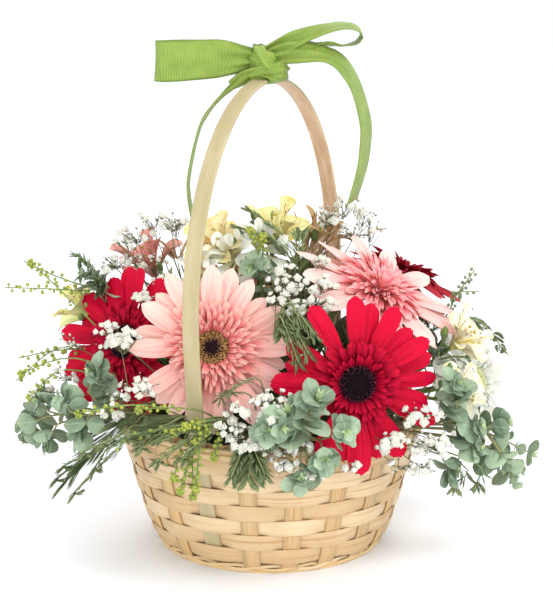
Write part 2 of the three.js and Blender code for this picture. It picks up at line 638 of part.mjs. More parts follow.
// Alstroemeria: three broad tepals outside three narrow ones, flaring from a short throat.
const THROAT_RADIUS = 2.8;
const TEPAL = [[0, 0.14], [0.6, 1], [1, 0.3]];
const ALSTROEMERIAS = [
  { name: 'alstroemeria_cream_left', at: [-33, 22, 204], faces: [-0.35, -0.6, 0.72],
    length: 34, petals: PETAL_CREAM },
  { name: 'alstroemeria_cream_top', at: [2, 38, 208], faces: [0.05, -0.4, 0.92],
    length: 34, petals: PETAL_CREAM },
  { name: 'alstroemeria_amber_top', at: [34, 58, 202], faces: [0.35, 0.1, 0.93],
    length: 30, petals: PETAL_CREAM },
  { name: 'alstroemeria_lime_left', at: [-126, 14, 160], faces: [-0.8, -0.2, 0.57],
    length: 32, petals: PETAL_CREAM },
  { name: 'alstroemeria_cream_right', at: [128, -20, 146], faces: [0.6, -0.4, 0.7],
    length: 30, petals: PETAL_CREAM },
  { name: 'alstroemeria_cream_low', at: [124, -50, 120], faces: [0.6, -0.66, 0.45],
    length: 26, petals: PETAL_CREAM },
  { name: 'alstroemeria_dusty_left', at: [-84, 30, 186], faces: [-0.35, -0.2, 0.92],
    length: 36, petals: PETAL_DUSTY },
];
const UMBELS = [
  { name: 'alstroemeria_stem_top', foot: [4, 12, 92], fork: [2, 28, 160], carries: [0, 1, 2] },
  { name: 'alstroemeria_stem_left', foot: [-38, 8, 94], fork: [-80, 14, 130], carries: [3, 6] },
  { name: 'alstroemeria_stem_right', foot: [44, -16, 98], fork: [86, -22, 116], carries: [4, 5] },
];

function alstroemeria({ name, at, faces, length, petals }, index) {
  const frame = bloomFrame(at, faces);
  const draw = seeded(301 + index);
  const blades = [];
  for (let i = 0; i < 6; i++) {
    const outer = i % 2 === 0;
    const angle = (2 * Math.PI * (i + 0.1 * draw())) / 6;
    const shape = { length: length * (outer ? 1 : 0.94), width: length * (outer ? 0.46 : 0.3),
      lift: outer ? 0.75 : 0.95, rise: 0.3, droop: 0.72, outline: TEPAL };
    blades.push(...fittingPetal(frame, angle, THROAT_RADIUS, BLADE / 2, shape));
  }
  addPiece(name, placedBy(corolla(blades, BLADE / 2), frame), petals, bloomGroup, frame);
}

function umbel({ name, foot, fork, carries }) {
  const main = neededRod(name, [foot, vec(foot).lerp(vec(fork), 0.5).toArray(), fork], 1.6, 4, 3);
  const parts = [main.solid];
  for (const index of carries) {
    const { at, faces } = ALSTROEMERIAS[index];
    const frame = bloomFrame(at, faces);
    const end = vec([0, 0, -1.5 * GAP]).applyMatrix4(frame).toArray();
    const bend = vec([0, 0, -14]).applyMatrix4(frame).toArray();
    const inside = vec(fork).lerp(vec(foot), 0.02).toArray();
    parts.push(neededRod(name, [inside, bend, end], 1.1, 4, 3).solid);
  }
  addPiece(name, wasm.Manifold.union(parts), STEM_GREEN, bloomGroup);
}

// Sprays. Each is a stem with its twigs, and carries whatever has room.
const ROUND_LEAF = [[0, 0.08], [0.5, 1], [1, 0.45]];

// A blade that grows from a point, along a direction, with its face turned towards another.
function leafAt(point, along, face, shape) {
  const x = along.clone().normalize();
  const y = new THREE.Vector3().crossVectors(face, x).normalize();
  const z = new THREE.Vector3().crossVectors(x, y);
  const frame = new THREE.Matrix4().makeBasis(x, y, z).setPosition(point);
  return placedBy(blade(bladeStations(shape)), frame);
}

// The first twig grows out of the foam, the others out of the first one at a share of its length.
function eucalyptusSpray({ name, twigs }) {
  const parts = [];
  let main = null;
  for (const { fork, points, pairs, from, leaf, tipLeaf } of twigs) {
    const line = main ? [main.at(fork).point.toArray(), ...points] : points;
    const stem = main ? clearRod(line, 1.2, 3, 4, 0.8) : neededRod(name, line, 1.4, 3, 5, 0.8);
    if (!stem) continue;
    main = main || stem;
    parts.push(stem.solid);
    for (let i = 0; i < pairs; i++) {
      const { point, tangent, side, up } = stem.at(from + ((0.98 - from) * i) / Math.max(pairs - 1, 1));
      const size = leaf + ((tipLeaf - leaf) * i) / Math.max(pairs - 1, 1);
      for (const sign of [1, -1]) {
        const out = (i % 2 ? side : up).clone().multiplyScalar(sign).addScaledVector(tangent, 0.45);
        const shape = { length: size, width: size * 0.95, outline: ROUND_LEAF, droop: 0.12 };
        const made = leafAt(point, out, tangent, shape);
        if (isClear(made)) parts.push(made);
      }
    }
  }
  addPiece(name, wasm.Manifold.union(parts), EUCALYPTUS, sprayGroup);
}

const EUCALYPTUS_SPRAYS = [
  { name: 'eucalyptus_left', twigs: [
    { points: [[-46, -22, 98], [-78, -40, 108], [-112, -50, 112], [-146, -44, 102], [-172, -34, 84]],
      pairs: 4, from: 0.45, leaf: 22, tipLeaf: 10 },
    { fork: 0.55, points: [[-112, -70, 122], [-114, -78, 134]],
      pairs: 2, from: 0.5, leaf: 17, tipLeaf: 13 } ] },
  { name: 'eucalyptus_front', twigs: [
    { points: [[6, -46, 96], [9, -90, 102], [11, -114, 104], [13, -128, 118], [12, -134, 130]],
      pairs: 2, from: 0.7, leaf: 19, tipLeaf: 15 },
    { fork: 0.66, points: [[22, -134, 124], [30, -140, 140]], pairs: 2, from: 0.5, leaf: 19, tipLeaf: 15 },
    { fork: 0.6, points: [[24, -128, 100], [24, -130, 84]], pairs: 1, from: 0.9, leaf: 15, tipLeaf: 11 } ] },
  { name: 'eucalyptus_right', twigs: [
    { points: [[50, -24, 96], [84, -46, 104], [116, -66, 106], [150, -66, 96], [182, -54, 78]],
      pairs: 3, from: 0.58, leaf: 21, tipLeaf: 10 },
    { fork: 0.5, points: [[122, -76, 118], [128, -84, 132]], pairs: 2, from: 0.45, leaf: 18, tipLeaf: 14 },
    { fork: 0.75, points: [[158, -76, 84], [168, -76, 64]], pairs: 2, from: 0.5, leaf: 11, tipLeaf: 8 } ] },
  { name: 'eucalyptus_top', twigs: [
    { points: [[8, -8, 98], [8, -6, 150], [0, -14, 198]], pairs: 3, from: 0.72, leaf: 18, tipLeaf: 17 } ] },
  { name: 'eucalyptus_back', twigs: [
    { points: [[20, 44, 96], [44, 84, 122], [56, 116, 122], [60, 142, 104]],
      pairs: 3, from: 0.5, leaf: 24, tipLeaf: 16 } ] },
];

// A feathery acacia leaf: narrow leaflets in pairs along a rib.
const NARROW_LEAF = [[0, 0.4], [1, 0.8]];
const LEAFLET_WIDTH = 6;
const ACACIA_FRONDS = [
  { name: 'acacia_leaf_left', pairs: 4, leaflet: 34, lean: 2.6,
    points: [[-44, -34, 96], [-80, -62, 116], [-112, -76, 96], [-140, -84, 66]] },
  { name: 'acacia_leaf_front_left', pairs: 4, leaflet: 20, lean: 1.1,
    points: [[-24, -48, 98], [-44, -90, 116], [-66, -114, 118], [-88, -122, 106]] },
  { name: 'acacia_leaf_front', pairs: 4, leaflet: 22, lean: 1.6,
    points: [[-6, -50, 96], [-10, -92, 114], [-12, -118, 106], [-14, -128, 84]] },
  { name: 'acacia_leaf_top', pairs: 4, leaflet: 17, lean: 0.9,
    points: [[14, 6, 100], [22, 4, 160], [14, 2, 206], [-14, 6, 232]] },
  { name: 'acacia_leaf_right', pairs: 4, leaflet: 14, lean: 1.1,
    points: [[52, 14, 98], [104, 34, 136], [146, 22, 158], [172, 4, 134]] },
];

function acaciaFrond({ name, points, pairs, leaflet, lean }) {
  const rib = neededRod(name, points, 1.2, 3, 6, 0.7);
  const parts = [rib.solid];
  for (let i = 0; i < pairs; i++) {
    const share = 0.45 + (0.53 * i) / (pairs - 1);
    const { point, tangent, side, up } = rib.at(share);
    const size = leaflet * (1 - 0.35 * (i / (pairs - 1)) ** 2);
    for (const sign of [1, -1]) {
      const out = side.clone().multiplyScalar(sign).addScaledVector(tangent, lean);
      const shape = { length: size, width: LEAFLET_WIDTH, outline: NARROW_LEAF, droop: 0.1 };
      const made = leafAt(point, out, up, shape);
      if (isClear(made)) parts.push(made);
    }
  }
  addPiece(name, wasm.Manifold.union(parts), ACACIA, sprayGroup);
}

// Strings of round flower buds, set left and right along thin stalks.
const BUD_STRINGS = [
  { name: 'bud_string_left_high', strings: [
    [[-42, 20, 100], [-96, 0, 176], [-140, -6, 184], [-188, -10, 187]],
    [[-150, -8, 194], [-174, -10, 206]] ] },
  { name: 'bud_string_left_low', strings: [
    [[-48, 2, 98], [-98, 6, 140], [-140, -20, 152], [-178, -38, 126]],
    [[-154, -26, 152], [-176, -36, 142]] ] },
  { name: 'bud_string_front', strings: [
    [[-16, -50, 96], [-36, -96, 116], [-48, -120, 108], [-57, -126, 76]],
    [[-72, -118, 114], [-104, -112, 100]] ] },
  { name: 'bud_string_right', strings: [
    [[46, 18, 100], [116, 8, 150], [134, 2, 180], [146, 0, 198]],
    [[130, -6, 182], [148, -10, 184]] ] },
];

const BEADS = 4; // buds on a stalk
const BEAD_RADIUS = 2.3;
const BEAD_ASIDE = 1.7; // how far a bud's middle stands beside its stalk

function budString({ name, strings }) {
  const parts = [];
  let main = null;
  for (const points of strings) {
    const line = main ? [main.at(0.55).point.toArray(), ...points] : points;
    const stalk = main ? clearRod(line, 0.8, 3, 3, 0.5) : neededRod(name, line, 0.9, 3, 4, 0.5);
    if (!stalk) continue;
    main = main || stalk;
    parts.push(stalk.solid);
    for (let i = 0; i < BEADS; i++) {
      const { point, side, up } = stalk.at(0.42 + (0.57 * i) / (BEADS - 1));
      const aside = (i % 2 ? side : up).clone().multiplyScalar(i % 4 < 2 ? BEAD_ASIDE : -BEAD_ASIDE);
      const ball = solidFromGeometry(new THREE.OctahedronGeometry(BEAD_RADIUS));
      const bead = ball.translate(point.add(aside).toArray());
      if (isClear(bead)) parts.push(bead);
    }
  }
  addPiece(name, wasm.Manifold.union(parts), BUD_GREEN, sprayGroup);
}

// Baby's breath: a stem that forks into clusters, each a few twigs with a round double flower.
const BREATH_SPRAYS = [
  { name: 'breath_left_top', foot: [-30, 18, 100], fork: [-62, 12, 176],
    clusters: [[-72, 20, 226], [-96, 12, 218], [-112, 4, 200]] },
  { name: 'breath_left', foot: [-44, -20, 98], fork: [-78, -52, 128],
    clusters: [[-100, -84, 164], [-88, -92, 134]] },
  { name: 'breath_centre', foot: [10, -30, 100], fork: [18, -50, 164],
    clusters: [[10, -64, 200], [32, -68, 186]] },
  { name: 'breath_front', foot: [-2, -44, 98], fork: [0, -90, 116],
    clusters: [[4, -116, 132], [-14, -122, 108], [8, -124, 98]] },
  { name: 'breath_right', foot: [46, -36, 98], fork: [84, -76, 110],
    clusters: [[98, -96, 116], [110, -92, 92], [84, -104, 100]] },
  { name: 'breath_back', foot: [26, 34, 100], fork: [44, 56, 178],
    clusters: [[62, 40, 216], [44, 62, 224], [30, 96, 184]] },
];

function breathSpray({ name, foot, fork, clusters }, index) {
  const draw = seeded(701 + index);
  const middle = vec(foot).lerp(vec(fork), 0.5).toArray();
  const main = neededRod(name, [foot, middle, fork], 1.1, 3, 3, 0.9);
  const parts = [main.solid];
  for (const centre of clusters) {
    const start = vec(fork).lerp(vec(foot), 0.02).toArray();
    const half = vec(fork).lerp(vec(centre), 0.55).toArray();
    const branch = clearRod([start, half, centre], 0.8, 3, 2, 0.6);
    if (!branch) continue;
    parts.push(branch.solid);
    const end = solidFromGeometry(new THREE.OctahedronGeometry(4)).translate(centre);
    if (isClear(end)) parts.push(end);
    for (let i = 0; i < 2; i++) {
      const { point } = branch.at(0.7 + 0.2 * i);
      const spread = vec([draw() - 0.5, draw() - 0.5, draw() - 0.1]).multiplyScalar(30);
      const tip = point.clone().add(spread);
      const ball = solidFromGeometry(new THREE.OctahedronGeometry(i ? 4 : 3)).translate(tip.toArray());
      const twig = rod([point.toArray(), tip.toArray()], 0.6, 3, 1).add(ball);
      if (isClear(twig)) parts.push(twig);
    }
  }
  addPiece(name, wasm.Manifold.union(parts), BREATH_WHITE, sprayGroup);
}

buildBasket();
buildRibbon();
GERBERAS.forEach(gerberaPetals);
GERBERAS.forEach(gerberaDisc);
GERBERAS.forEach(gerberaStem);
ALSTROEMERIAS.forEach(alstroemeria);
UMBELS.forEach(umbel);
EUCALYPTUS_SPRAYS.forEach(eucalyptusSpray);
ACACIA_FRONDS.forEach(acaciaFrond);
BUD_STRINGS.forEach(budString);
BREATH_SPRAYS.forEach(breathSpray);
buildFoam();

export default arrangement;
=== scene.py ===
# %% [markdown]
# A woven bamboo basket of cut flowers, built as a lesson in Blender.
# The solids of the basket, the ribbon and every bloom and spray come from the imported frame.
# They fix where things are. Here each one is made again with the detail that an eye close to it would see.
# Sizes are in millimetres, as on a florist's bench, and become metres where a mesh is made.

# %% Load the frame
import json
import math

import bpy
from mathutils import Matrix, Vector, kdtree

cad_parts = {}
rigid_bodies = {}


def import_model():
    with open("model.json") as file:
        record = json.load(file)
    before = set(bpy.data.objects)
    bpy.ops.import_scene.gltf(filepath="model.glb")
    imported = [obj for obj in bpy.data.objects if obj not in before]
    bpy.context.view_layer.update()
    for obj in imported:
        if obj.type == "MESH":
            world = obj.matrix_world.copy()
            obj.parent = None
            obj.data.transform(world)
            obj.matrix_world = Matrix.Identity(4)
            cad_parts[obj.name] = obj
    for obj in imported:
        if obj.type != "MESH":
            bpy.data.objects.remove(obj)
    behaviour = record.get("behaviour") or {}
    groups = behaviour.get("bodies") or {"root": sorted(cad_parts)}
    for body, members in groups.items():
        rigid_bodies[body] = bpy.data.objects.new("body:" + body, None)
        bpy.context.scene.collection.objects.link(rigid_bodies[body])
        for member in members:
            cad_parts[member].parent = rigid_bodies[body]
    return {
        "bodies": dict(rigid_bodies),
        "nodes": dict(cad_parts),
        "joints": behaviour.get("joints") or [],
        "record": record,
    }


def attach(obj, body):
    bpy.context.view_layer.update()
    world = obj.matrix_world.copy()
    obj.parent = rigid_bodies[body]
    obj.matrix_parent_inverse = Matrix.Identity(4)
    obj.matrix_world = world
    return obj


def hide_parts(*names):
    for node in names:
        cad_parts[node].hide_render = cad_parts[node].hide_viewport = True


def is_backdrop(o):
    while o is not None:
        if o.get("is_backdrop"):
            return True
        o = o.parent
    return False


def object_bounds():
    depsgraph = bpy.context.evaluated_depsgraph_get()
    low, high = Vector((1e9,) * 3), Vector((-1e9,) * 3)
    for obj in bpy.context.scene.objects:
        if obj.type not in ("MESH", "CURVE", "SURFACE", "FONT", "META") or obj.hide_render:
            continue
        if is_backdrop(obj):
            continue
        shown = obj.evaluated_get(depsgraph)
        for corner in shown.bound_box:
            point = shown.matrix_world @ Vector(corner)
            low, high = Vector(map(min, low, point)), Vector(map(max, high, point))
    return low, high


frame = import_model()
cad_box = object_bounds()
MM = 0.001
print("frame loaded with", len(frame["nodes"]), "nodes")

# %% [markdown]
# The driving sizes are the same ones that the solids were made from, so the two can't drift apart.
# The basket flares from its foot to its rim, and a flat strip stands over it as a hoop.

# %% Sizes shared with the solids
FOOT_RADIUS = 80
RIM_RADIUS = 109
BASKET_HEIGHT = 96
FLARE_POWER = 0.8
STAKES = 20
ROWS = 7
ROW_PITCH = 11.4
FIRST_ROW = 9
HANDLE_WIDTH = 12
HANDLE_THICKNESS = 2.5
HANDLE_TOP = 334
HANDLE_SPRING = 180
HANDLE_REACH = 112.5
HANDLE_LEAN = -3.5
HANDLE_TURN = math.radians(26.5)
HANDLE_SEAT = 0.3
LEG_HEIGHTS = [12, 40, 68]
BLADE = 0.9
GAP = 0.35
ROUTE_TRIES = 160
ROUTE_REACH = 30
RIBBON_WIDTH = 27

HOOP_ALONG = Vector((math.sin(HANDLE_TURN), math.cos(HANDLE_TURN), 0))
HOOP_ACROSS = Vector((HOOP_ALONG.y, -HOOP_ALONG.x, 0))
FRONT_LEG_ANGLE = math.atan2(-HOOP_ALONG.y, -HOOP_ALONG.x)
AXIS_X, AXIS_Y, AXIS_Z = Matrix.Identity(3)


def wall_radius(height):
    return FOOT_RADIUS + (RIM_RADIUS - FOOT_RADIUS) * (max(height, 0) / BASKET_HEIGHT) ** FLARE_POWER


print("rim is", 2 * RIM_RADIUS, "mm across, and the hoop tops out at", HANDLE_TOP, "mm")

# %% [markdown]
# Node trees for shading and for geometry are both written here as sums.
# A Wire holds a socket, and each operator on it adds one Math node, so a formula reads as it does on paper.
# Every other node goes through one method, which sets its options first and then its sockets.

# %% A graph that is written as sums
class Wire:
    """A socket that can stand in a sum."""

    def __init__(self, graph, socket):
        self.graph = graph
        self.socket = socket

    def math(self, operation, *others):
        node = self.graph.add("ShaderNodeMath", {"operation": operation}, dict(enumerate((self, *others))))
        return node["Value"]

    def __add__(self, other):
        return self.math("ADD", other)

    def __sub__(self, other):
        return self.math("SUBTRACT", other)

    def __rsub__(self, other):
        return self * -1 + other

    def __mul__(self, other):
        return self.math("MULTIPLY", other)

    def __truediv__(self, other):
        return self.math("DIVIDE", other)

    def __pow__(self, other):
        return self.math("POWER", other)

    __radd__ = __add__

    def then(self, kind, settings=None, **sockets):
        """Sends geometry through a node, whose first input and first output hold it."""
        sockets = {title.replace("_", " "): value for title, value in sockets.items()}
        return self.graph.add("GeometryNode" + kind, settings, {0: self, **sockets})[0]


class Made:
    """A node in a graph, whose outputs are read by name."""

    def __init__(self, graph, node):
        self.graph = graph
        self.node = node

    def __getitem__(self, name):
        return Wire(self.graph, find_socket(self.node.outputs, name))


def find_socket(sockets, name):
    """The socket with an identifier, a name or a number."""
    matches = [socket for socket in sockets if socket.identifier == name]
    return matches[0] if matches else sockets[name]


class Graph:
    """A shader or geometry tree, filled by calls."""

    def __init__(self, tree):
        self.tree = tree

    def add(self, kind, settings=None, sockets=None):
        node = self.tree.nodes.new(kind)
        for key, value in (settings or {}).items():
            setattr(node, key, value)
        for key, value in (sockets or {}).items():
            target = find_socket(node.inputs, key)
            if isinstance(value, Wire):
                self.tree.links.new(value.socket, target)
            else:
                target.default_value = value
        return Made(self, node)


def vector_of(graph, x, y, z=0.0):
    return graph.add("ShaderNodeCombineXYZ", {}, {"X": x, "Y": y, "Z": z})["Vector"]


def split(vector):
    parts = vector.graph.add("ShaderNodeSeparateXYZ", {}, {"Vector": vector})
    return parts["X"], parts["Y"], parts["Z"]


print("graph helpers ready")

# %% [markdown]
# Colours are named by how they look on a screen, from 0 to 255, as a florist's photograph shows them.
# Blender mixes light in linear values, so each one goes through the same curve first.

# %% Colours
def screen(red, green, blue):
    def linear(value):
        value = value / 255
        return value / 12.92 if value <= 0.04045 else ((value + 0.055) / 1.055) ** 2.4
    return (linear(red), linear(green), linear(blue), 1)


STRAW = screen(206, 175, 132)
STRAW_PALE = screen(225, 200, 162)
STRAW_BROWN = screen(176, 128, 72)
BAMBOO_SKIN = screen(174, 160, 124)
BAMBOO_SKIN_GREEN = screen(178, 164, 110)
BAMBOO_PITH = screen(211, 178, 145)
RIBBON_GREEN = screen(155, 178, 82)
RIBBON_DEEP = screen(102, 128, 50)
LEAF_GLAUCOUS = screen(110, 131, 106)
LEAF_GLAUCOUS_PALE = screen(164, 184, 154)
LEAF_YOUNG = screen(150, 174, 126)
BUD_YELLOW = screen(172, 176, 70)
BUD_GREEN = screen(124, 142, 70)
print("palette ready")

# %% [markdown]
# The camera stands where the photographer stood: a little above the flowers, with a long lens, a metre away.
# A studio white floor runs far back, so that the floor and the sky behind it meet as one pale ground.
# A large soft light stands high on the right, and three more fill it in, so the shadow is pale and soft.
# A light's place and size are in metres, and its power is in watts.

# %% Camera, floor and light
CAMERA_PLACE = Vector((4.4, -1150, 420))
CAMERA_PITCH = math.radians(12.13)
LENS = 97.3
FARTHEST_SEEN = 100
FLOOR_RADIUS = 30000
FLOOR_COLOUR = (0.93, 0.96, 1.0, 1)
FLOOR_ROUGHNESS = 0.9
SKY_COLOUR = (0.985, 0.993, 1, 1)
SKY_STRENGTH = 1.08
LIGHT_AIM = Vector((0, 0, 0.12))
LIGHTS = {
    "key_light": ((1.3, -1.3, 2.1), 1.1, 26),
    "fill_light": ((-1.4, -1.9, 0.75), 1.6, 9),
    "front_light": ((0.25, -2.3, 0.4), 1.7, 17),
    "back_light": ((0.3, 1.7, 1.9), 1.2, 12),
}


def in_scene(name, data):
    """An object that shows some data, linked to the scene."""
    piece = bpy.data.objects.new(name, data)
    bpy.context.scene.collection.objects.link(piece)
    return piece


def stage_camera():
    camera = in_scene("camera", bpy.data.cameras.new("camera"))
    camera.location = CAMERA_PLACE * MM
    camera.rotation_euler = (math.pi / 2 - CAMERA_PITCH, 0, 0)
    camera.data.lens = LENS
    camera.data.clip_end = FARTHEST_SEEN
    bpy.context.scene.camera = camera


def stage_light(name, place, size, power):
    light = in_scene(name, bpy.data.lights.new(name, "AREA"))
    light.data.energy = power
    light.data.size = size
    light.location = place
    light.rotation_euler = (LIGHT_AIM - light.location).to_track_quat("-Z", "Y").to_euler()


def stage_floor():
    mesh = bpy.data.meshes.new("floor")
    corners = [Vector((x, y, 0)) * FLOOR_RADIUS * MM for x, y in ((-1, -1), (1, -1), (1, 1), (-1, 1))]
    mesh.from_pydata(corners, [], [(0, 1, 2, 3)])
    material = bpy.data.materials.new("studio_floor")
    material.use_nodes = True
    shader = material.node_tree.nodes["Principled BSDF"]
    shader.inputs["Base Color"].default_value = FLOOR_COLOUR
    shader.inputs["Roughness"].default_value = FLOOR_ROUGHNESS
    mesh.materials.append(material)
    in_scene("floor", mesh)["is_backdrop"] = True


def stage_sky():
    world = bpy.context.scene.world or bpy.data.worlds.new("studio")
    bpy.context.scene.world = world
    world.use_nodes = True
    sky = world.node_tree.nodes["Background"]
    sky.inputs["Color"].default_value = SKY_COLOUR
    sky.inputs["Strength"].default_value = SKY_STRENGTH


stage_camera()
stage_floor()
stage_sky()
for name, row in LIGHTS.items():
    stage_light(name, *row)
bpy.context.scene.view_settings.view_transform = "Standard"
print("camera, floor and", len(LIGHTS), "soft lights placed")

# %% [markdown]
# Every piece ends the same way: its mesh holds its place, and it rides on the basket's one body. A piece that
# stands for solids of the frame says which ones, and those are hidden, so it is seen in their place.

# %% Finishing a piece
made_pieces = []


def keep(piece, slot, nodes=()):
    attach(piece, "root")
    if nodes:
        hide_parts(*nodes)
    made_pieces.append(piece.name)
    return piece


def run_modifier(piece, tree, values):
    """Evaluates a geometry tree on an object and keeps the plain mesh that comes out."""
    modifier = piece.modifiers.new("make", "NODES")
    modifier.node_group = tree
    for item in tree.interface.items_tree:
        if item.item_type == "SOCKET" and item.in_out == "INPUT" and item.name in values:
            modifier[item.identifier] = values[item.name]
    piece.update_tag()
    graph = bpy.context.evaluated_depsgraph_get()
    mesh = bpy.data.meshes.new_from_object(piece.evaluated_get(graph))
    piece.modifiers.remove(modifier)
    old = piece.data
    piece.data = mesh
    bpy.data.meshes.remove(old)
    mesh.name = piece.name
    return piece


def geometry_tree(name, inputs):
    """An empty geometry tree with inputs named kind by kind, and one geometry output."""
    tree = bpy.data.node_groups.new(name, "GeometryNodeTree")
    for kind, titles in inputs.items():
        for title in titles:
            tree.interface.new_socket(title, in_out="INPUT", socket_type="NodeSocket" + kind)
    tree.interface.new_socket("Geometry", in_out="OUTPUT", socket_type="NodeSocketGeometry")
    graph = Graph(tree)
    return graph, graph.add("NodeGroupInput")


def tinted(geometry, tint, material, domain="POINT"):
    """Geometry with its tint stored, its instances made real, and its material set."""
    settings = {"data_type": "FLOAT", "domain": domain}
    stored = geometry.then("StoreNamedAttribute", settings, Name="tint", Value=tint)
    return stored.then("RealizeInstances").then("SetMaterial", Material=material)


def tree_from(graph, geometry):
    graph.add("NodeGroupOutput", {}, {0: geometry})
    return graph.tree


print("piece helpers ready")

# %% [markdown]
# Fibres, veins and speckles are all stretched noise.
# A finish starts from one Principled shader: its constant values go straight onto its sockets.
# Only colour, roughness and the bump change over a surface.

# %% Finish helpers
class Finish(Graph):
    """The shader tree of one material."""

    def __init__(self, name, roughness=0.6, **constants):
        self.material = bpy.data.materials.new(name)
        self.material.use_nodes = True
        super().__init__(self.material.node_tree)
        self.shader("Roughness").default_value = roughness
        for title, value in constants.items():
            self.shader(title.replace("_", " ")).default_value = value

    def shader(self, title):
        return self.tree.nodes["Principled BSDF"].inputs[title]

    def shade(self, colour, bump=None, distance=0.0003, strength=0.6, roughness=None):
        """Sends a colour, a bump height and a roughness to the shader. Gives the finished material."""
        self.tree.links.new(colour.socket, self.shader("Base Color"))
        if roughness is not None:
            self.tree.links.new(roughness.socket, self.shader("Roughness"))
        if bump is not None:
            sockets = {"Height": bump, "Distance": distance, "Strength": strength}
            bumped = self.add("ShaderNodeBump", {}, sockets)["Normal"]
            self.tree.links.new(bumped.socket, self.shader("Normal"))
        return self.material

    def attribute(self, name):
        return self.add("ShaderNodeAttribute", {"attribute_name": name})["Fac"]

    def place(self):
        return self.add("ShaderNodeTexCoord")["Object"]

    def unwrapped(self):
        """How far across a piece and how far along it, in its own unwrapped coordinates."""
        return split(self.add("ShaderNodeUVMap", {"uv_map": "UVMap"})["UV"])[:2]

    def noise_over(self, x, y, z=0.0, detail=2.0):
        return noise(vector_of(self, x, y, z), detail=detail)


def noise(vector, scale=1.0, detail=2.0, roughness=0.55):
    sockets = {"Vector": vector, "Scale": scale, "Detail": detail, "Roughness": roughness}
    return vector.graph.add("ShaderNodeTexNoise", {}, sockets)["Fac"]


def mixed(share, first, second):
    """The first colour where the share is 0, and the second where it is 1."""
    settings = {"data_type": "RGBA", "clamp_factor": True}
    sockets = {"Factor_Float": share, "A_Color": first, "B_Color": second}
    return share.graph.add("ShaderNodeMix", settings, sockets)["Result_Color"]


def spread(value, low, high, new_low=0.0, new_high=1.0):
    """Goes softly from one new value to the other, as a value goes from low to high."""
    sockets = {"Value": value, "From Min": low, "From Max": high, "To Min": new_low, "To Max": new_high}
    return value.graph.add("ShaderNodeMapRange", {"interpolation_type": "SMOOTHSTEP"}, sockets)["Result"]


def faded(value, low, high):
    """Goes softly from 1 down to 0, as a value goes from low to high."""
    return spread(value, low, high, 1.0, 0.0)


def from_middle(across):
    """0 in the middle of a blade or a ribbon, and 1 at either edge."""
    return ((across - 0.5) * 2).math("ABSOLUTE")


def ripple(angle):
    """A wave between 0 and 1."""
    return angle.math("SINE") * 0.5 + 0.5


print("finish helpers ready")

# %% [markdown]
# Split bamboo is straw yellow with fine straight fibres, browner streaks, and a soft shine where it bends.
# The fibres run along each strip: round the basket on the weavers, upwards on the stakes.
# So the pattern is read in the angle round the basket and in the height, and one of the two is stretched.

# %% Bamboo finishes
def bamboo_finish(name, upright, base, pale, streak):
    graph = Finish(name, 0.5, Specular_IOR_Level=0.35)
    x, y, z = split(graph.place())
    around = y.math("ARCTAN2", x) * 0.1
    tint = graph.attribute("tint")
    across, along = (around, z) if upright else (z, around)
    fine = graph.noise_over(across * 2600, along * 30, tint * 40, detail=4)
    broad = graph.noise_over(across * 420, along * 9, tint * 25)
    patch = graph.noise_over(across * 60, along * 45, tint * 60)
    colour = mixed(spread(patch * 0.6 + tint * 0.5, 0.25, 0.85), base, pale)
    colour = mixed(spread(broad, 0.5, 0.72) * 0.55, colour, streak)
    colour = mixed(spread(fine, 0.42, 0.75) * 0.3, colour, streak)
    return graph.shade(colour, fine + broad * 0.6, 0.00012, 0.55, fine * 0.25 + 0.42)


WEFT_FINISH = bamboo_finish("bamboo_weaver", False, STRAW, STRAW_PALE, STRAW_BROWN)
STAKE_FINISH = bamboo_finish("bamboo_stake", True, screen(214, 178, 122), STRAW, screen(146, 98, 52))
REED_FINISH = bamboo_finish("bamboo_reed", False, screen(222, 190, 136), STRAW_PALE, STRAW_BROWN)
print("bamboo in three cuts")

# %% [markdown]
# Everything that goes round the basket is one strip on a circle: the weavers, the twined reeds of the foot,
# the bands of the rim and the lashing that binds them. They differ only in how they swing out and up.
# One geometry tree makes them all from a circle whose points are moved by a formula.
# The swing is a cosine squared off by a hyperbolic tangent, because a flat strip lies against a stake
# before it crosses. Beside a leg of the hoop a high power of the cosine lets the strip in.

# %% The hoop tree
STRIP_STEPS = 480
SQUARENESS = 1.7
LEG_NARROWNESS = 120
CORNER_SHARE = 0.3
HOOP_INPUTS = {
    "Geometry": ["Geometry"],
    "Float": [
        "Radius", "Height", "Turn", "Waves", "Swing Out", "Swing Up", "Phase", "Leg Swing", "Strip Width",
        "Strip Thickness", "Lens", "Tilt", "Tint",
    ],
    "Int": ["Steps"],
    "Material": ["Material"],
}


def strip_section(graph, width, height):
    sockets = {"Width": width, "Height": height}
    return graph.add("GeometryNodeCurvePrimitiveQuadrilateral", {}, sockets)["Curve"]


def unit_circle(graph, steps):
    return graph.add("GeometryNodeCurvePrimitiveCircle", {}, {"Resolution": steps, "Radius": 1.0})["Curve"]


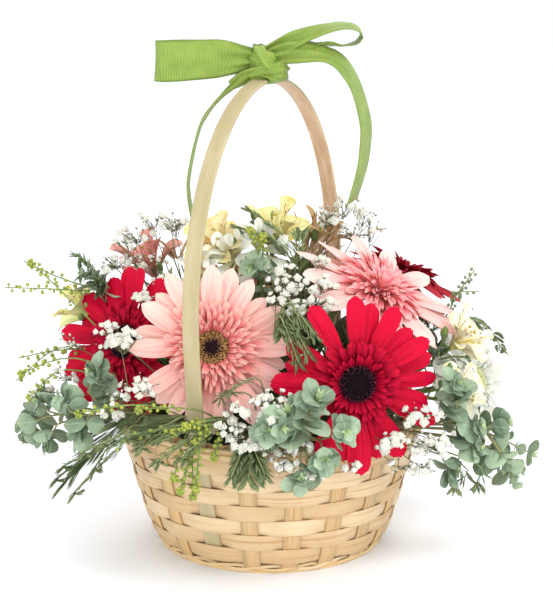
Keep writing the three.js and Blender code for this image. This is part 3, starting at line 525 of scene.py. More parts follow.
def hoop_tree():
    graph, given = geometry_tree("strip_round_basket", HOOP_INPUTS)
    circle = unit_circle(graph, given["Steps"])
    around = graph.add("GeometryNodeInputIndex")["Index"] / given["Steps"] * (2 * math.pi)
    turn = around + given["Turn"]
    wave = around * given["Waves"] + given["Phase"]
    swing = (wave.math("COSINE") * SQUARENESS).math("TANH") / math.tanh(SQUARENESS)
    beside_leg = around.math("COSINE").math("ABSOLUTE") ** LEG_NARROWNESS
    radius = given["Radius"] + given["Swing Out"] * swing - given["Leg Swing"] * beside_leg
    height = given["Height"] + given["Swing Up"] * wave.math("SINE")
    place = vector_of(graph, radius * turn.math("COSINE"), radius * turn.math("SINE"), height)
    line = circle.then("SetPosition", Position=place).then("SetCurveNormal", {"mode": "Z_UP"})
    line = line.then("SetCurveTilt", Tilt=given["Tilt"])
    section = strip_section(graph, given["Strip Thickness"], given["Strip Width"])
    corner = given["Strip Thickness"] * CORNER_SHARE
    rounded = section.then("FilletCurve", {"mode": "POLY"}, Radius=corner, Count=2)
    strip = line.then("CurveToMesh", Profile_Curve=rounded, Scale=swing * given["Lens"] + 1.0)
    return tree_from(graph, tinted(strip, given["Tint"], given["Material"]))


HOOP = hoop_tree()
HOOP_SHARES = {
    "Turn": FRONT_LEG_ANGLE, "Waves": 0.0, "Phase": 0.0, "Lens": 0.0, "Tilt": 0.0, "Steps": STRIP_STEPS,
    "Tint": 0.5,
}


def hoop(name, radius, height, material, **sizes):
    """A strip round the basket. Lengths are in millimetres."""
    lengths = {"Swing Out": 0, "Swing Up": 0, "Leg Swing": 0, "Radius": radius, "Height": height}
    for title, value in sizes.items():
        lengths[title.replace("_", " ").title()] = value
    shares = {title: lengths.pop(title, value) for title, value in HOOP_SHARES.items()}
    values = {title: float(value) * MM for title, value in lengths.items()}
    mesh = bpy.data.meshes.new(name)
    return run_modifier(in_scene(name, mesh), HOOP, {**values, **shares, "Material": material})


def joined(name, pieces):
    """One mesh object from several that have no modifiers left."""
    chosen = {"active_object": pieces[0], "selected_editable_objects": pieces, "selected_objects": pieces}
    with bpy.context.temp_override(**chosen):
        bpy.ops.object.join()
    pieces[0].name = name
    pieces[0].data.name = name
    return pieces[0]


print("hoop tree has", len(HOOP.nodes), "nodes")

# %% [markdown]
# Seven rows of flat weavers run round twenty stakes, each row out of step with the next.
# Beside the hoop's legs the weaver bends further in, because a leg is three times as thick as a stake.
# The tilt lays each row flat against the flare of the wall.

# %% The weavers
STRIP_THICKNESS = 0.8
WEFT_WIDTH = 11.8
WEFT_LENS = 0.07
WEFT_SWING = 1.05
WEFT_OUT = 0.3
WEFT_DROP = 0.4
LEG_ROOM = 2.0


def flare_tilt(height):
    return math.atan((wall_radius(height + 1) - wall_radius(height - 1)) / 2)


def weave_rows():
    rows = []
    for row in range(ROWS):
        middle = FIRST_ROW + (row + 0.5) * ROW_PITCH - WEFT_DROP
        outside = row % 2 == 0
        rows.append(hoop(
            "weaver_row", wall_radius(middle) + WEFT_OUT, middle, WEFT_FINISH, waves=STAKES / 2,
            swing_out=WEFT_SWING, phase=0.0 if outside else math.pi, leg_swing=0.0 if outside else LEG_ROOM,
            strip_width=WEFT_WIDTH, strip_thickness=STRIP_THICKNESS, lens=WEFT_LENS,
            tilt=flare_tilt(middle), tint=(row * 0.37) % 1,
        ))
    return keep(joined("basket_weavers", rows), "bamboo", ["basket_weave"])


weavers = weave_rows()
print("weavers:", len(weavers.data.polygons), "faces")

# %% [markdown]
# The stakes stand in two sets, because each weaver passes outside every second one.
# One tree bends a strip up the wall, in and out once for two rows, and sets ten of them round the basket.
# The two places where the hoop's legs go down are left free. At its foot a stake leans in, under the reeds.

# %% The stakes
STAKE_INPUTS = {
    "Geometry": ["Geometry"],
    "Int": ["Count", "Offset", "Skip Every", "Seed"],
    "Float": ["First Turn", "Phase", "Swing", "Strip Width", "Strip Thickness"],
    "Material": ["Material"],
}
STAKE_FOOT = 2.0
STAKE_TOP = BASKET_HEIGHT - 3
STAKE_STEPS = 70
STAKE_LEAN = 5.5
LEAN_FADE = 0.35
STAKE_WIDTH = 11.6
STAKE_SWING = 0.4
NO_SKIP = 100


def random_share(graph, seed):
    return graph.add("FunctionNodeRandomValue", {"data_type": "FLOAT"}, {"Seed": seed})["Value_001"]


def stake_tree():
    graph, given = geometry_tree("stakes_round_basket", STAKE_INPUTS)
    sockets = {"Start": (0, 0, STAKE_FOOT * MM), "End": (0, 0, STAKE_TOP * MM)}
    line = graph.add("GeometryNodeCurvePrimitiveLine", {}, sockets)["Curve"]
    line = line.then("ResampleCurve", Count=STAKE_STEPS)
    height = split(graph.add("GeometryNodeInputPosition")["Position"])[2] * (1 / MM)
    flare = (height / BASKET_HEIGHT) ** FLARE_POWER * (RIM_RADIUS - FOOT_RADIUS) + FOOT_RADIUS + WEFT_OUT
    rows = (height - (FIRST_ROW + ROW_PITCH / 2 - WEFT_DROP)) * (math.pi / ROW_PITCH) + given["Phase"]
    lean = (height * -LEAN_FADE).math("EXPONENT") * STAKE_LEAN
    radius = (flare - lean) * MM - given["Swing"] * rows.math("COSINE")
    place = vector_of(graph, radius, 0.0, height * MM)
    line = line.then("SetPosition", Position=place).then("SetCurveNormal", {"mode": "FREE"}, Normal=(0, 1, 0))
    section = strip_section(graph, given["Strip Width"], given["Strip Thickness"])
    strip = line.then("CurveToMesh", Profile_Curve=section, Fill_Caps=True)
    index = graph.add("GeometryNodeInputIndex")["Index"]
    spots = graph.add("GeometryNodePoints", {}, {"Count": given["Count"]})["Points"]
    turn = vector_of(graph, 0.0, 0.0, index * (4 * math.pi / STAKES) + given["First Turn"])
    wanted = (index + given["Offset"]).math("MODULO", given["Skip Every"])
    stakes = spots.then("InstanceOnPoints", Selection=wanted, Instance=strip, Rotation=turn)
    stakes = tinted(stakes, random_share(graph, given["Seed"]), given["Material"], "INSTANCE")
    return tree_from(graph, stakes)


STAKE_TREE = stake_tree()


def stake_set(odd):
    values = {
        "Count": STAKES // 2, "First Turn": FRONT_LEG_ANGLE + odd * 2 * math.pi / STAKES,
        "Phase": odd * math.pi, "Swing": STAKE_SWING * MM, "Strip Width": STAKE_WIDTH * MM,
        "Strip Thickness": STRIP_THICKNESS * MM, "Offset": odd, "Skip Every": NO_SKIP if odd else STAKES // 4,
        "Seed": 5 + odd, "Material": STAKE_FINISH,
    }
    return run_modifier(in_scene("stake_set", bpy.data.meshes.new("stake_set")), STAKE_TREE, values)


stakes = keep(joined("basket_stakes", [stake_set(0), stake_set(1)]), "bamboo", ["basket_weave"])
print("stakes:", len(stakes.data.polygons), "faces")

# %% [markdown]
# The foot is twined: two reeds twist round each other on their way round, between two plain ones.
# The rim is a flat band outside the wall and one inside it, with a thin split lashed over both, there and
# back. All of them are the same hoop tree with other swings. A swing out and one up together make a coil.

# %% Foot, rim and lashing
PLAIN_REEDS = [(79.6, 1.5, 2.9), (78.9, 6.9, 2.2)]
REED_THICKNESS = 2.4
TWINED_REED = {"swing_out": 0.7, "swing_up": 1.5, "strip_width": 2.3, "strip_thickness": 1.5}
TWINED_RADIUS = 80.9
TWINED_HEIGHT = 3.9
RIM_MIDDLE = BASKET_HEIGHT + 1 - 3.75
RIM_BANDS = {"outer": 2.65, "inner": -6.5}
BAND_LIFT = 1.8
BAND_STRIP = {"strip_width": 4.1, "strip_thickness": 2.2}
LASHING_TURNS = 44
LASHING_IN = 1.9
LASHING = {"swing_out": 6.1, "swing_up": 4.3, "strip_width": 1.9, "strip_thickness": 0.9}


def foot_reeds():
    reeds = [
        hoop("foot_reed", radius, height, REED_FINISH, strip_width=width, strip_thickness=REED_THICKNESS,
             tint=height / 7)
        for radius, height, width in PLAIN_REEDS
    ]
    reeds.extend(
        hoop("foot_reed", TWINED_RADIUS, TWINED_HEIGHT, REED_FINISH, waves=STAKES / 2, phase=phase,
             tint=0.3 + phase / 6, **TWINED_REED)
        for phase in (0.0, math.pi)
    )
    return keep(joined("foot_reeds", reeds), "bamboo", ["foot_hoop"])


def rim_band(side, offset):
    name = "rim_band_" + side
    parts = [
        hoop(name, wall_radius(RIM_MIDDLE) + offset, RIM_MIDDLE + lift, REED_FINISH,
             tilt=flare_tilt(RIM_MIDDLE), tint=0.4 + lift / 9, **BAND_STRIP)
        for lift in (-BAND_LIFT, BAND_LIFT)
    ]
    return keep(joined(name, parts), "bamboo", ["rim_hoop_" + side])


def rim_lashing():
    coils = [
        hoop("rim_lashing", wall_radius(RIM_MIDDLE) - LASHING_IN, RIM_MIDDLE, STAKE_FINISH, waves=turns,
             steps=LASHING_TURNS * 16, tint=0.8, **LASHING)
        for turns in (LASHING_TURNS, -LASHING_TURNS)
    ]
    return keep(joined("rim_lashing", coils), "bamboo", ["rim_hoop_outer", "rim_hoop_inner"])


foot = foot_reeds()
for side, offset in RIM_BANDS.items():
    rim_band(side, offset)
rim_lashing()
print("foot reeds:", len(foot.data.polygons), "faces")

# %% [markdown]
# A mesh can be made straight from rings of points: each ring is a cross section, and faces join one to the
# next. The base mat, the hoop handle and the ribbon are all made so.
# The unwrapped coordinates are written with the points: across the strip in U, along it in V.

# %% Rings into a mesh
BASE_RADIUS = 76
BASE_SIDES = 60
BASE_LEVELS = (2.2, 4)
BASE_HOLE = 0.5


def mesh_from(name, points, faces, coordinates=None, finishes=(), finish_of_face=None, smooth=True):
    """A mesh object from points in millimetres, with a UV pair for each point if they are given."""
    mesh = bpy.data.meshes.new(name)
    mesh.from_pydata([Vector(p) * MM for p in points], [], faces)
    if coordinates:
        layer = mesh.uv_layers.new(name="UVMap")
        for loop in mesh.loops:
            layer.data[loop.index].uv = coordinates[loop.vertex_index]
    for material in finishes:
        mesh.materials.append(material)
    for polygon in mesh.polygons:
        polygon.use_smooth = smooth
        if finish_of_face:
            polygon.material_index = finish_of_face(polygon.index)
    mesh.update()
    return in_scene(name, mesh)


def ring_faces(rings, sides):
    """Faces that join rings of points one to the next, and close both ends."""
    faces = []
    for start in range(0, (rings - 1) * sides, sides):
        for k in range(sides):
            following = (k + 1) % sides
            faces.append((start + k, start + following, start + sides + following, start + sides + k))
    last = (rings - 1) * sides
    faces.append(tuple(range(sides - 1, -1, -1)))
    faces.append(tuple(range(last, last + sides)))
    return faces


def polar(radius, angle, height):
    return Vector((radius * math.cos(angle), radius * math.sin(angle), height))


def turned_rings(profile, sides):
    """Rings of points round +Z, one for each (radius, height) pair of a profile."""
    turns = [2 * math.pi * k / sides for k in range(sides)]
    return [polar(radius, turn, height) for radius, height in profile for turn in turns]


def smooth_point(points, share):
    """A point on the smooth curve through a list of points, at a share of the way along it."""
    points = [Vector(p) for p in points]
    place = (len(points) - 1) * share
    step = min(int(place), len(points) - 2)
    part = place - step
    before = points[step - 1] if step else points[0] * 2 - points[1]
    after = points[step + 2] if step + 2 < len(points) else points[-1] * 2 - points[-2]
    start, end = points[step], points[step + 1]
    first, second = (end - before) / 2, (after - start) / 2
    return (start + first * part + (end * 3 - start * 3 - first * 2 - second) * part ** 2
            + (start * 2 - end * 2 + first + second) * part ** 3)


def way_along(points, share, step):
    """The direction of that curve at a share of the way along it."""
    ahead, behind = min(share + step, 1), max(share - step, 0)
    return (smooth_point(points, ahead) - smooth_point(points, behind)).normalized()


def base_mat():
    low, high = BASE_LEVELS
    profile = [(BASE_HOLE, low), (BASE_RADIUS, low), (BASE_RADIUS, high), (BASE_HOLE, high)]
    points = turned_rings(profile, BASE_SIDES)
    mat = mesh_from("base_mat", points, ring_faces(4, BASE_SIDES), None, [REED_FINISH], smooth=False)
    return keep(mat, "bamboo", ["basket_weave"])


base_mat()
print("base mat, and a curve that runs through given points")

# %% [markdown]
# The hoop handle is one flat strip of bamboo, bent while it was wet. Its skin side is smooth and pale.
# The inside shows the pith, which is warmer and has coarser fibres.
# So the two sides carry different finishes on one mesh, and the fibres follow the strip in its own unwrapped
# coordinates. A knuckle of the cane crosses it as a thin darker line.

# %% The hoop handle
SECTION_BEVEL = 0.7
HANDLE_KNUCKLE = 3.1
HANDLE_STEPS = 180
ARCH_STEPS = 16
FRONT_RISE_OUT = 4
BACK_RISE_OUT = 0.5
UV_LENGTH = 100


def strip_finish(name, base, pale, streak):
    graph = Finish(name, 0.5, Specular_IOR_Level=0.25)
    across, along = graph.unwrapped()
    fine = graph.noise_over(across * 34, along * 14, detail=4)
    broad = graph.noise_over(across * 7, along * 5, 3.0)
    patch = graph.noise_over(across * 1.5, along * 3, 7.0)
    colour = mixed(spread(patch, 0.35, 0.7), base, pale)
    colour = mixed(spread(broad, 0.48, 0.75) * 0.6, colour, streak)
    colour = mixed(spread(fine, 0.45, 0.8) * 0.48, colour, streak)
    from_knuckle = (along - HANDLE_KNUCKLE + (fine - 0.5) * 0.01).math("ABSOLUTE")
    colour = mixed(faded(from_knuckle, 0.004, 0.014) * 0.6, colour, streak)
    return graph.shade(colour, fine + broad, 0.0001, 0.4)


SKIN_FINISH = strip_finish("handle_skin", BAMBOO_SKIN, screen(187, 172, 137), BAMBOO_SKIN_GREEN)
PITH_FINISH = strip_finish("handle_pith", BAMBOO_PITH, screen(226, 196, 164), screen(184, 140, 102))


def handle_line():
    """The hoop's line: up inside the front of the wall, over in an arch, and down inside the back."""
    seat = HANDLE_SEAT - HANDLE_THICKNESS / 2
    leg = [(wall_radius(z) + seat, z) for z in (*LEG_HEIGHTS, BASKET_HEIGHT)]
    rise = (HANDLE_SPRING + BASKET_HEIGHT) / 2
    front = [(-s, z) for s, z in (*leg, (wall_radius(BASKET_HEIGHT) + FRONT_RISE_OUT, rise))]
    back = [*leg, (wall_radius(BASKET_HEIGHT) + BACK_RISE_OUT, rise)][::-1]
    top = HANDLE_TOP - HANDLE_THICKNESS / 2
    arch = [
        (HANDLE_LEAN - HANDLE_REACH * math.cos(math.pi * i / ARCH_STEPS),
         HANDLE_SPRING + (top - HANDLE_SPRING) * math.sin(math.pi * i / ARCH_STEPS))
        for i in range(ARCH_STEPS + 1)
    ]
    return [HOOP_ALONG * s + AXIS_Z * z for s, z in (*front, *arch, *back)]


HANDLE_LINE = handle_line()


def handle_frame(share):
    """The middle of the hoop, and its directions along and outwards, at a share of its line."""
    along = way_along(HANDLE_LINE, share, 0.001)
    return smooth_point(HANDLE_LINE, share), along, HOOP_ACROSS.cross(along)


def handle_section():
    """Corners of the strip's bevelled section, across and through, in the order that faces them outwards."""
    half_width, half_depth = HANDLE_WIDTH / 2, HANDLE_THICKNESS / 2
    corners = []
    for side, depth in ((1, 1), (-1, 1), (-1, -1), (1, -1)):
        flat = (side * (half_width - SECTION_BEVEL), depth * half_depth)
        upright = (side * half_width, depth * (half_depth - SECTION_BEVEL))
        corners.extend([upright, flat] if side * depth > 0 else [flat, upright])
    return corners[::-1]


def build_handle():
    section = handle_section()
    sides = len(section)
    points, coordinates = [], []
    length, previous = 0.0, handle_frame(0)[0]
    for i in range(HANDLE_STEPS + 1):
        middle, _, out = handle_frame(i / HANDLE_STEPS)
        length += (middle - previous).length
        previous = middle
        for across, depth in section:
            points.append(middle + HOOP_ACROSS * across + out * depth)
            coordinates.append((across / HANDLE_WIDTH + 0.5, length / UV_LENGTH))
    inner = {k for k in range(sides) if section[k][1] + section[(k + 1) % sides][1] < 0}

    def finish_of_face(face):
        return int(face < HANDLE_STEPS * sides and face % sides in inner)

    faces = ring_faces(HANDLE_STEPS + 1, sides)
    finishes = [SKIN_FINISH, PITH_FINISH]
    return mesh_from("handle_strip", points, faces, coordinates, finishes, finish_of_face, smooth=False)


handle = keep(build_handle(), "bamboo_skin", ["handle"])
print("handle strip:", len(handle.data.polygons), "faces")

# %% [markdown]
# The bow is one length of ribbed ribbon: a wrap round the hoop, a knot, two loops and two tails.
# A ribbon bends along its length but hardly stretches, so each run is a line of stations.
# A station is a point, the direction of the ribbon's width there, and the share of the width that isn't
# gathered. Cloth simulation would make it droop, and stiff ribbon holds its curves, so it is laid out in
# listed stations.

# %% The runs of the bow
LEFT_LOOP = [
    ((-6, -2, 347), (0.2, 0, 1), 0.4), ((-18, -8, 348), (0.1, 0, 1), 0.62),
    ((-34, -15, 348), (0.03, 0, 1), 0.95), ((-56, -23.5, 347), (0.03, 0, 1), 1),
    ((-70, -25.5, 346.5), (0.05, 0, 1), 1.02), ((-77, -21.5, 346.5), (0.05, 0, 1), 1.02),
    ((-78, -15.5, 346.5), (0.05, 0, 1), 1.02), ((-71, -12, 346.5), (0.05, 0, 1), 1.02),
    ((-56, -9.5, 347), (0.03, 0, 1), 1), ((-32, -4, 347), (0.03, 0, 1), 0.9),
    ((-6, 1, 346), (0.2, 0, 1), 0.4),
]
RIGHT_LOOP = [
    ((-4, -2.5, 350), (-0.3, 0.3, 1), 0.35), ((11, -2, 357), (-0.2, 0.5, 0.9), 0.5),
    ((23, -1, 362.5), (-0.1, 0.9, 0.5), 0.65), ((38, 1, 367.5), (-0.05, 1, 0.25), 0.85),
    ((50, 4, 369.5), (0, 1, 0.15), 0.95), ((59, 6, 368), (0, 1, 0.12), 0.95),
    ((63.5, 8, 363), (0, 1, 0.1), 0.95), ((60, 8, 357.5), (0, 1, 0.05), 0.95),
    ((50, 7, 355.5), (0, 1, -0.05), 0.95), ((36, 5, 357), (0, 1, -0.15), 0.85),
    ((18, 2, 355), (-0.1, 0.7, 0.6), 0.55), ((-4, 2.5, 348), (-0.3, 0.3, 1), 0.35),
]
RIGHT_TAIL = [
    ((-3, -3, 347), (-0.2, 0, 1), 0.4), ((10, -7, 351), (-0.2, 0.3, 1), 0.55),
    ((24, -10, 352), (0, 0.7, 0.7), 0.7), ((38, -9, 350.5), (0.2, 1, 0.4), 0.85),
    ((50, -5, 343), (0.3, 1, 0.25), 0.95), ((60, 0, 327), (0.32, 1, 0.05), 1),
    ((67, 4, 302), (0.34, 0.95, 0), 1), ((67, 7, 283), (0.34, 0.95, 0), 1),
    ((64.5, 9, 266), (0.34, 0.95, 0.02), 1), ((58, 12, 243), (0.34, 0.95, 0.1), 1),
]
SADDLE = [
    ((-27, -10, 329), (0.3, 0.6, 0.8), 0.3), ((-19, -10, 334), (0.1, 0.1, 1), 0.36),
    ((-8, -10.5, 337), (0, -0.1, 1), 0.42), ((2, -10, 338.5), (0, 0, 1), 0.45),
    ((9, -7, 340), (0, 0, 1), 0.44), ((11, -1, 340), (0, 0, 1), 0.42), ((6, 5, 339), (0, 0, 1), 0.4),
    ((-4, 6, 339), (0, 0, 1), 0.38),
]
LEFT_TAIL = [
    ((-8, -5, 342), (0.1, 0.9, 0.25), 0.35), ((-18, -8, 335), (0.05, 1, 0.1), 0.5),
    ((-33, -18, 323), (0.03, 1, -0.03), 0.8), ((-42, -28, 312), (0.03, 1, -0.06), 0.95),
    ((-48, -40, 300), (0.03, 1, -0.06), 1), ((-53, -55, 278), (0.03, 1, -0.06), 1),
    ((-54, -62, 262), (0.03, 1, -0.06), 1), ((-50, -66, 238), (0.03, 1, -0.06), 1),
]
KNOT = Vector((-5, -2, 346))
print("bow runs:", [len(run) for run in (LEFT_LOOP, RIGHT_LOOP, RIGHT_TAIL, SADDLE, LEFT_TAIL)], "stations")

# %% [markdown]
# A run becomes a thin closed sheet: a top face, a bottom face, and the two edges.
# Where it is gathered into the knot its width is folded into soft pleats, and the far tail ends in a V cut.

# %% Ribbon sheets
RIBBON_THICKNESS = 0.45
RIBBON_COLUMNS = 10
STEPS_A_STATION = 7
NOTCH = 10
NOTCH_START = 0.85
GATHER = 5.5
PLEATS = 2.5
RIBBON_CUP = 0.35
BAND_GATHER = 1.6
BAND_BULGE = 4.2


def ribbon_rows(run, notch=0, gather=GATHER, bulge=0):
    """Rows of (point, normal, across, length) over a run."""
    count = (len(run) - 1) * STEPS_A_STATION
    places = [station[0] for station in run]
    widths = [station[1] for station in run]
    shares = [(station[2], 0, 0) for station in run]
    rows = []
    length, previous = 0.0, Vector(places[0])
    for i in range(count + 1):
        share = i / count
        at = smooth_point(places, share)
        along = way_along(places, share, 0.004)
        width = smooth_point(widths, share)
        wide = (width - along * width.dot(along)).normalized()
        out = along.cross(wide)
        fullness = smooth_point(shares, share).x
        length += (at - previous).length
        previous = at
        row = []
        for k in range(RIBBON_COLUMNS + 1):
            across = 2 * k / RIBBON_COLUMNS - 1
            pleat = gather * (1 - min(fullness, 1)) * math.cos(PLEATS * math.pi * across)
            pleat += RIBBON_CUP * math.cos(across * 2) + bulge * (1 - across ** 2)
            cut = notch * (1 - abs(across)) * max(0, share - NOTCH_START) / (1 - NOTCH_START)
            half = RIBBON_WIDTH * fullness / 2
            row.append((at + wide * across * half + out * pleat - along * cut, out, across, length))
        rows.append(row)
    return rows


def sheet_of(name, rows, material):
    points, coordinates = [], []
    for row in rows:
        for ordered, depth in ((row[::-1], 0.5), (row, -0.5)):
            for point, out, across, length in ordered:
                points.append(point + out * RIBBON_THICKNESS * depth)
                coordinates.append((across / 2 + 0.5, length / UV_LENGTH))
    return mesh_from(name, points, ring_faces(len(rows), 2 * len(rows[0])), coordinates, [material])


print("ribbon sheets are", RIBBON_THICKNESS, "mm thick")

# %% [markdown]
# Ribbed ribbon, which drapers call grosgrain, has a rib of thick weft about every millimetre and a firm
# selvedge. The ribs are a sine along the ribbon's own length: they raise the bump, and their crests are
# painted lighter as a painted highlight. Broad patches of painted sheen and shade lie over them.

# %% Ribbon finish
RIB_PITCH = 1.05
THREADS_ACROSS = 70


def ribbon_finish():
    graph = Finish("ribbed_ribbon", 0.48, Sheen_Weight=0.02, Specular_IOR_Level=0.25)
    across, along = graph.unwrapped()
    rib = ripple(along * (2 * math.pi * UV_LENGTH / RIB_PITCH))
    thread = ripple(across * (2 * math.pi * THREADS_ACROSS))
    selvedge = spread(from_middle(across), 0.93, 0.975)
    patch = graph.noise_over(across * 2, along * 6)
    # Painted highlight and shade: the crests of the ribs are painted lighter, and broad patches, some painted
    # lighter and some darker, stand for satin sheen and shade.
    colour = mixed(spread(rib * 0.6 + patch * 0.9, 0.3, 1.0), RIBBON_DEEP, RIBBON_GREEN)
    colour = mixed(selvedge * 0.55, colour, RIBBON_DEEP)
    return graph.shade(colour, rib * (1 - selvedge) + thread * 0.15, 0.00035, 0.8)


RIBBON_FINISH = ribbon_finish()
print("ribs every", RIB_PITCH, "mm")

# %% [markdown]
# The wrap round the hoop and the bands of the knot are short runs that close on themselves.
# Each goes round an axis on an oval, with the ribbon's width along the axis.

# %% Wrap, knot and bow
STATIONS_A_TURN = 16
SPIRAL_GROWTH = 0.14
SADDLE_BULGE = 1.5


def band_run(middle, axis, first, reach, depth, share, turns=1.0, skew=0.0):
    """A run that winds round an axis. It starts towards a direction and follows an oval."""
    axis = axis.normalized()
    first = (first - axis * first.dot(axis)).normalized()
    second = axis.cross(first)
    steps = round(STATIONS_A_TURN * turns)
    run = []
    for i in range(steps + 1):
        a = 2 * math.pi * turns * i / steps
        oval = first * reach * math.cos(a) + second * depth * math.sin(a)
        at = middle + oval * (1 + SPIRAL_GROWTH * i / steps) + axis * skew * (i / steps - 0.5)
        run.append((at, axis, share))
    return run


def build_bow():
    top, along, out = handle_frame(0.5)
    wrap = band_run(top + along + out * 0.4, along, HOOP_ACROSS, 7.5, 2.7, 0.98, turns=2.5, skew=3)
    bands = [
        band_run(KNOT, Vector((0.3, -0.15, 1)), AXIS_X, 5.6, 4.8, 0.62),
        band_run(KNOT + Vector((0.5, -0.5, 0.5)), Vector((1, -0.1, 0.7)), AXIS_Z, 6.6, 6, 0.45),
    ]
    runs = [ribbon_rows(LEFT_LOOP), ribbon_rows(RIGHT_LOOP), ribbon_rows(RIGHT_TAIL, NOTCH)]
    runs.extend([ribbon_rows(LEFT_TAIL), ribbon_rows(wrap, 0, BAND_GATHER)])
    runs.append(ribbon_rows(SADDLE, 0, BAND_GATHER, SADDLE_BULGE))
    runs.extend(ribbon_rows(band, 0, BAND_GATHER, BAND_BULGE) for band in bands)
    sheets = [sheet_of("ribbon_run", rows, RIBBON_FINISH) for rows in runs]
    return joined("ribbon_bow_sheet", sheets), sum(rows[-1][0][3] for rows in runs)


bow, bow_length = build_bow()
keep(bow, "ribbon", ["ribbon_bow"])
print("ribbon length along its runs:", round(bow_length), "mm")

# %% [markdown]
# Everything that grows is made by one tree: stalks that follow lines, and leaves, petals or buds on places.
# A place carries its turn, its size and which of a few small shapes stands there.
# A florist's flowers come from different plants, but all of them are a shape that is repeated on a stalk.

# %% The growing tree
SHAPES_A_TREE = 3
SPRAY_INPUTS = {
    "Geometry": ["Geometry"],
    "Object": [f"Shape {k}" for k in range(SHAPES_A_TREE)],
    "Int": ["Stalk Sides", "Seed"],
    "Float": ["Wobble", "Size Spread"],
    "Material": ["Stalk Material", "Shape Material"],
}


def named(graph, name, kind):
    return graph.add("GeometryNodeInputNamedAttribute", {"data_type": kind}, {"Name": name})["Attribute"]


def random_vector(graph, reach, middle, seed):
    low = vector_of(graph, *[middle - reach] * 3)
    high = vector_of(graph, *[reach + middle] * 3)
    sockets = {"Min": low, "Max": high, "Seed": seed}
    return graph.add("FunctionNodeRandomValue", {"data_type": "FLOAT_VECTOR"}, sockets)["Value"]


def varied(graph, operation, name, draw):
    """A place's own vector, with a random one added or multiplied in."""
    sockets = {0: named(graph, name, "FLOAT_VECTOR"), 1: draw}
    return graph.add("ShaderNodeVectorMath", {"operation": operation}, sockets)["Vector"]


def grown_stalks(graph, given):
    lines = given["Geometry"].then("MeshToCurve")
    lines = lines.then("SetCurveRadius", Radius=named(graph, "thick", "FLOAT"))
    radius = graph.add("GeometryNodeInputRadius")["Radius"]
    section = unit_circle(graph, given["Stalk Sides"])
    stalks = lines.then("CurveToMesh", Profile_Curve=section, Fill_Caps=True, Scale=radius)
    return stalks.then("SetMaterial", Material=given["Stalk Material"])


def grown_shapes(graph, given):
    turn = varied(graph, "ADD", "turn", random_vector(graph, given["Wobble"], 0.0, given["Seed"]))
    growth = random_vector(graph, given["Size Spread"], 1.0, given["Seed"] + 1)
    size = varied(graph, "MULTIPLY", "size", growth)
    grown = []
    for k in range(SHAPES_A_TREE):
        shape = graph.add("GeometryNodeObjectInfo", {}, {"Object": given[f"Shape {k}"]})["Geometry"]
        chosen = named(graph, "kind", "INT").math("COMPARE", float(k), 0.5)
        sockets = {"Selection": chosen, "Instance": shape, "Rotation": turn, "Scale": size}
        grown.append(given["Geometry"].then("InstanceOnPoints", **sockets))
    draw = random_share(graph, given["Seed"] + 2)
    return tinted(gathered(graph, grown), draw, given["Shape Material"], "INSTANCE")


def gathered(graph, parts):
    """Joins geometry. The node takes many links on one socket."""
    node = graph.tree.nodes.new("GeometryNodeJoinGeometry")
    for part in reversed(parts):
        graph.tree.links.new(part.socket, node.inputs["Geometry"])
    return Wire(graph, node.outputs["Geometry"])


def spray_tree():
    graph, given = geometry_tree("stalks_and_shapes", SPRAY_INPUTS)
    return tree_from(graph, gathered(graph, [grown_stalks(graph, given), grown_shapes(graph, given)]))


SPRAY = spray_tree()
print("growing tree has", len(SPRAY.nodes), "nodes")

# %% [markdown]
# The places and the stalks of one spray are gathered in a plain list first. Then they go into one mesh.
# Loose points of it are places, and chains of edges are stalks. Sizes are in millimetres until here.

# %% A bunch of places and stalks
NO_SHAPE = -1
ATTRIBUTES = {
    "kind": "INT", "turn": "FLOAT_VECTOR", "size": "FLOAT_VECTOR", "shade": "FLOAT", "thick": "FLOAT",
}


class Bunch:
    """Places and stalks of one spray, before they are made."""

    def __init__(self):
        self.points = []
        self.edges = []
        self.values = {key: [] for key in ATTRIBUTES}

    def add_point(self, point, kind, turn, size, shade, thick):
        self.points.append(Vector(point) * MM)
        for key, value in zip(self.values, (kind, turn, size, shade, thick)):
            self.values[key].append(value)

    def place(self, frame, size, kind=0, shade=0.5):
        """Sets a shape with its root at a frame's origin. The frame is in millimetres."""
        size = Vector(size) if hasattr(size, "__len__") else Vector((size, size, size))
        self.add_point(frame.translation, kind, tuple(frame.to_euler()), tuple(size * MM), shade, 0.0)

    def stalk(self, line, first, last):
        start = len(self.points)
        for i, point in enumerate(line):
            thick = (first + (last - first) * i / (len(line) - 1)) * MM
            self.add_point(point, NO_SHAPE, (0, 0, 0), (0, 0, 0), 0.5, thick)
        self.edges.extend((start + i, start + i + 1) for i in range(len(line) - 1))

    def grow(self, name, shapes, shape_finish, stalk_finish=None, sides=6, wobble=0.0, spread=0.0, seed=1):
        mesh = bpy.data.meshes.new(name)
        mesh.from_pydata(self.points, self.edges, [])
        for key, kind in ATTRIBUTES.items():
            values = self.values[key]
            attribute = mesh.attributes.new(key, kind, "POINT")
            if kind == "FLOAT_VECTOR":
                attribute.data.foreach_set("vector", [part for value in values for part in value])
            else:
                attribute.data.foreach_set("value", values)
        inputs = {f"Shape {k}": shape for k, shape in enumerate(shapes)}
        inputs.update({
            "Stalk Sides": sides, "Wobble": wobble, "Size Spread": spread, "Seed": seed,
            "Stalk Material": stalk_finish or shape_finish, "Shape Material": shape_finish,
        })
        return run_modifier(in_scene(name, mesh), SPRAY, inputs)


def frame_at(at, x, y, z):
    frame = Matrix((x, y, z)).transposed().to_4x4()
    frame.translation = Vector(at)
    return frame


def frame_of(at, x, z):
    """A frame in millimetres with +X along one direction and +Z as near as can be to another."""
    x = Vector(x).normalized()
    y = Vector(z).cross(x).normalized()
    return frame_at(at, x, y, x.cross(y))


def across(direction):
    """A level direction across another one."""
    return (AXIS_Y if abs(direction.z) > 0.9 else AXIS_Z).cross(direction).normalized()


def bloom_frame(at, faces):
    """The same frame that the solids use for a bloom: +Z is the way that it faces."""
    z = Vector(faces).normalized()
    x = across(z)
    return frame_at(at, x, z.cross(x), z)


print("bunch ready")

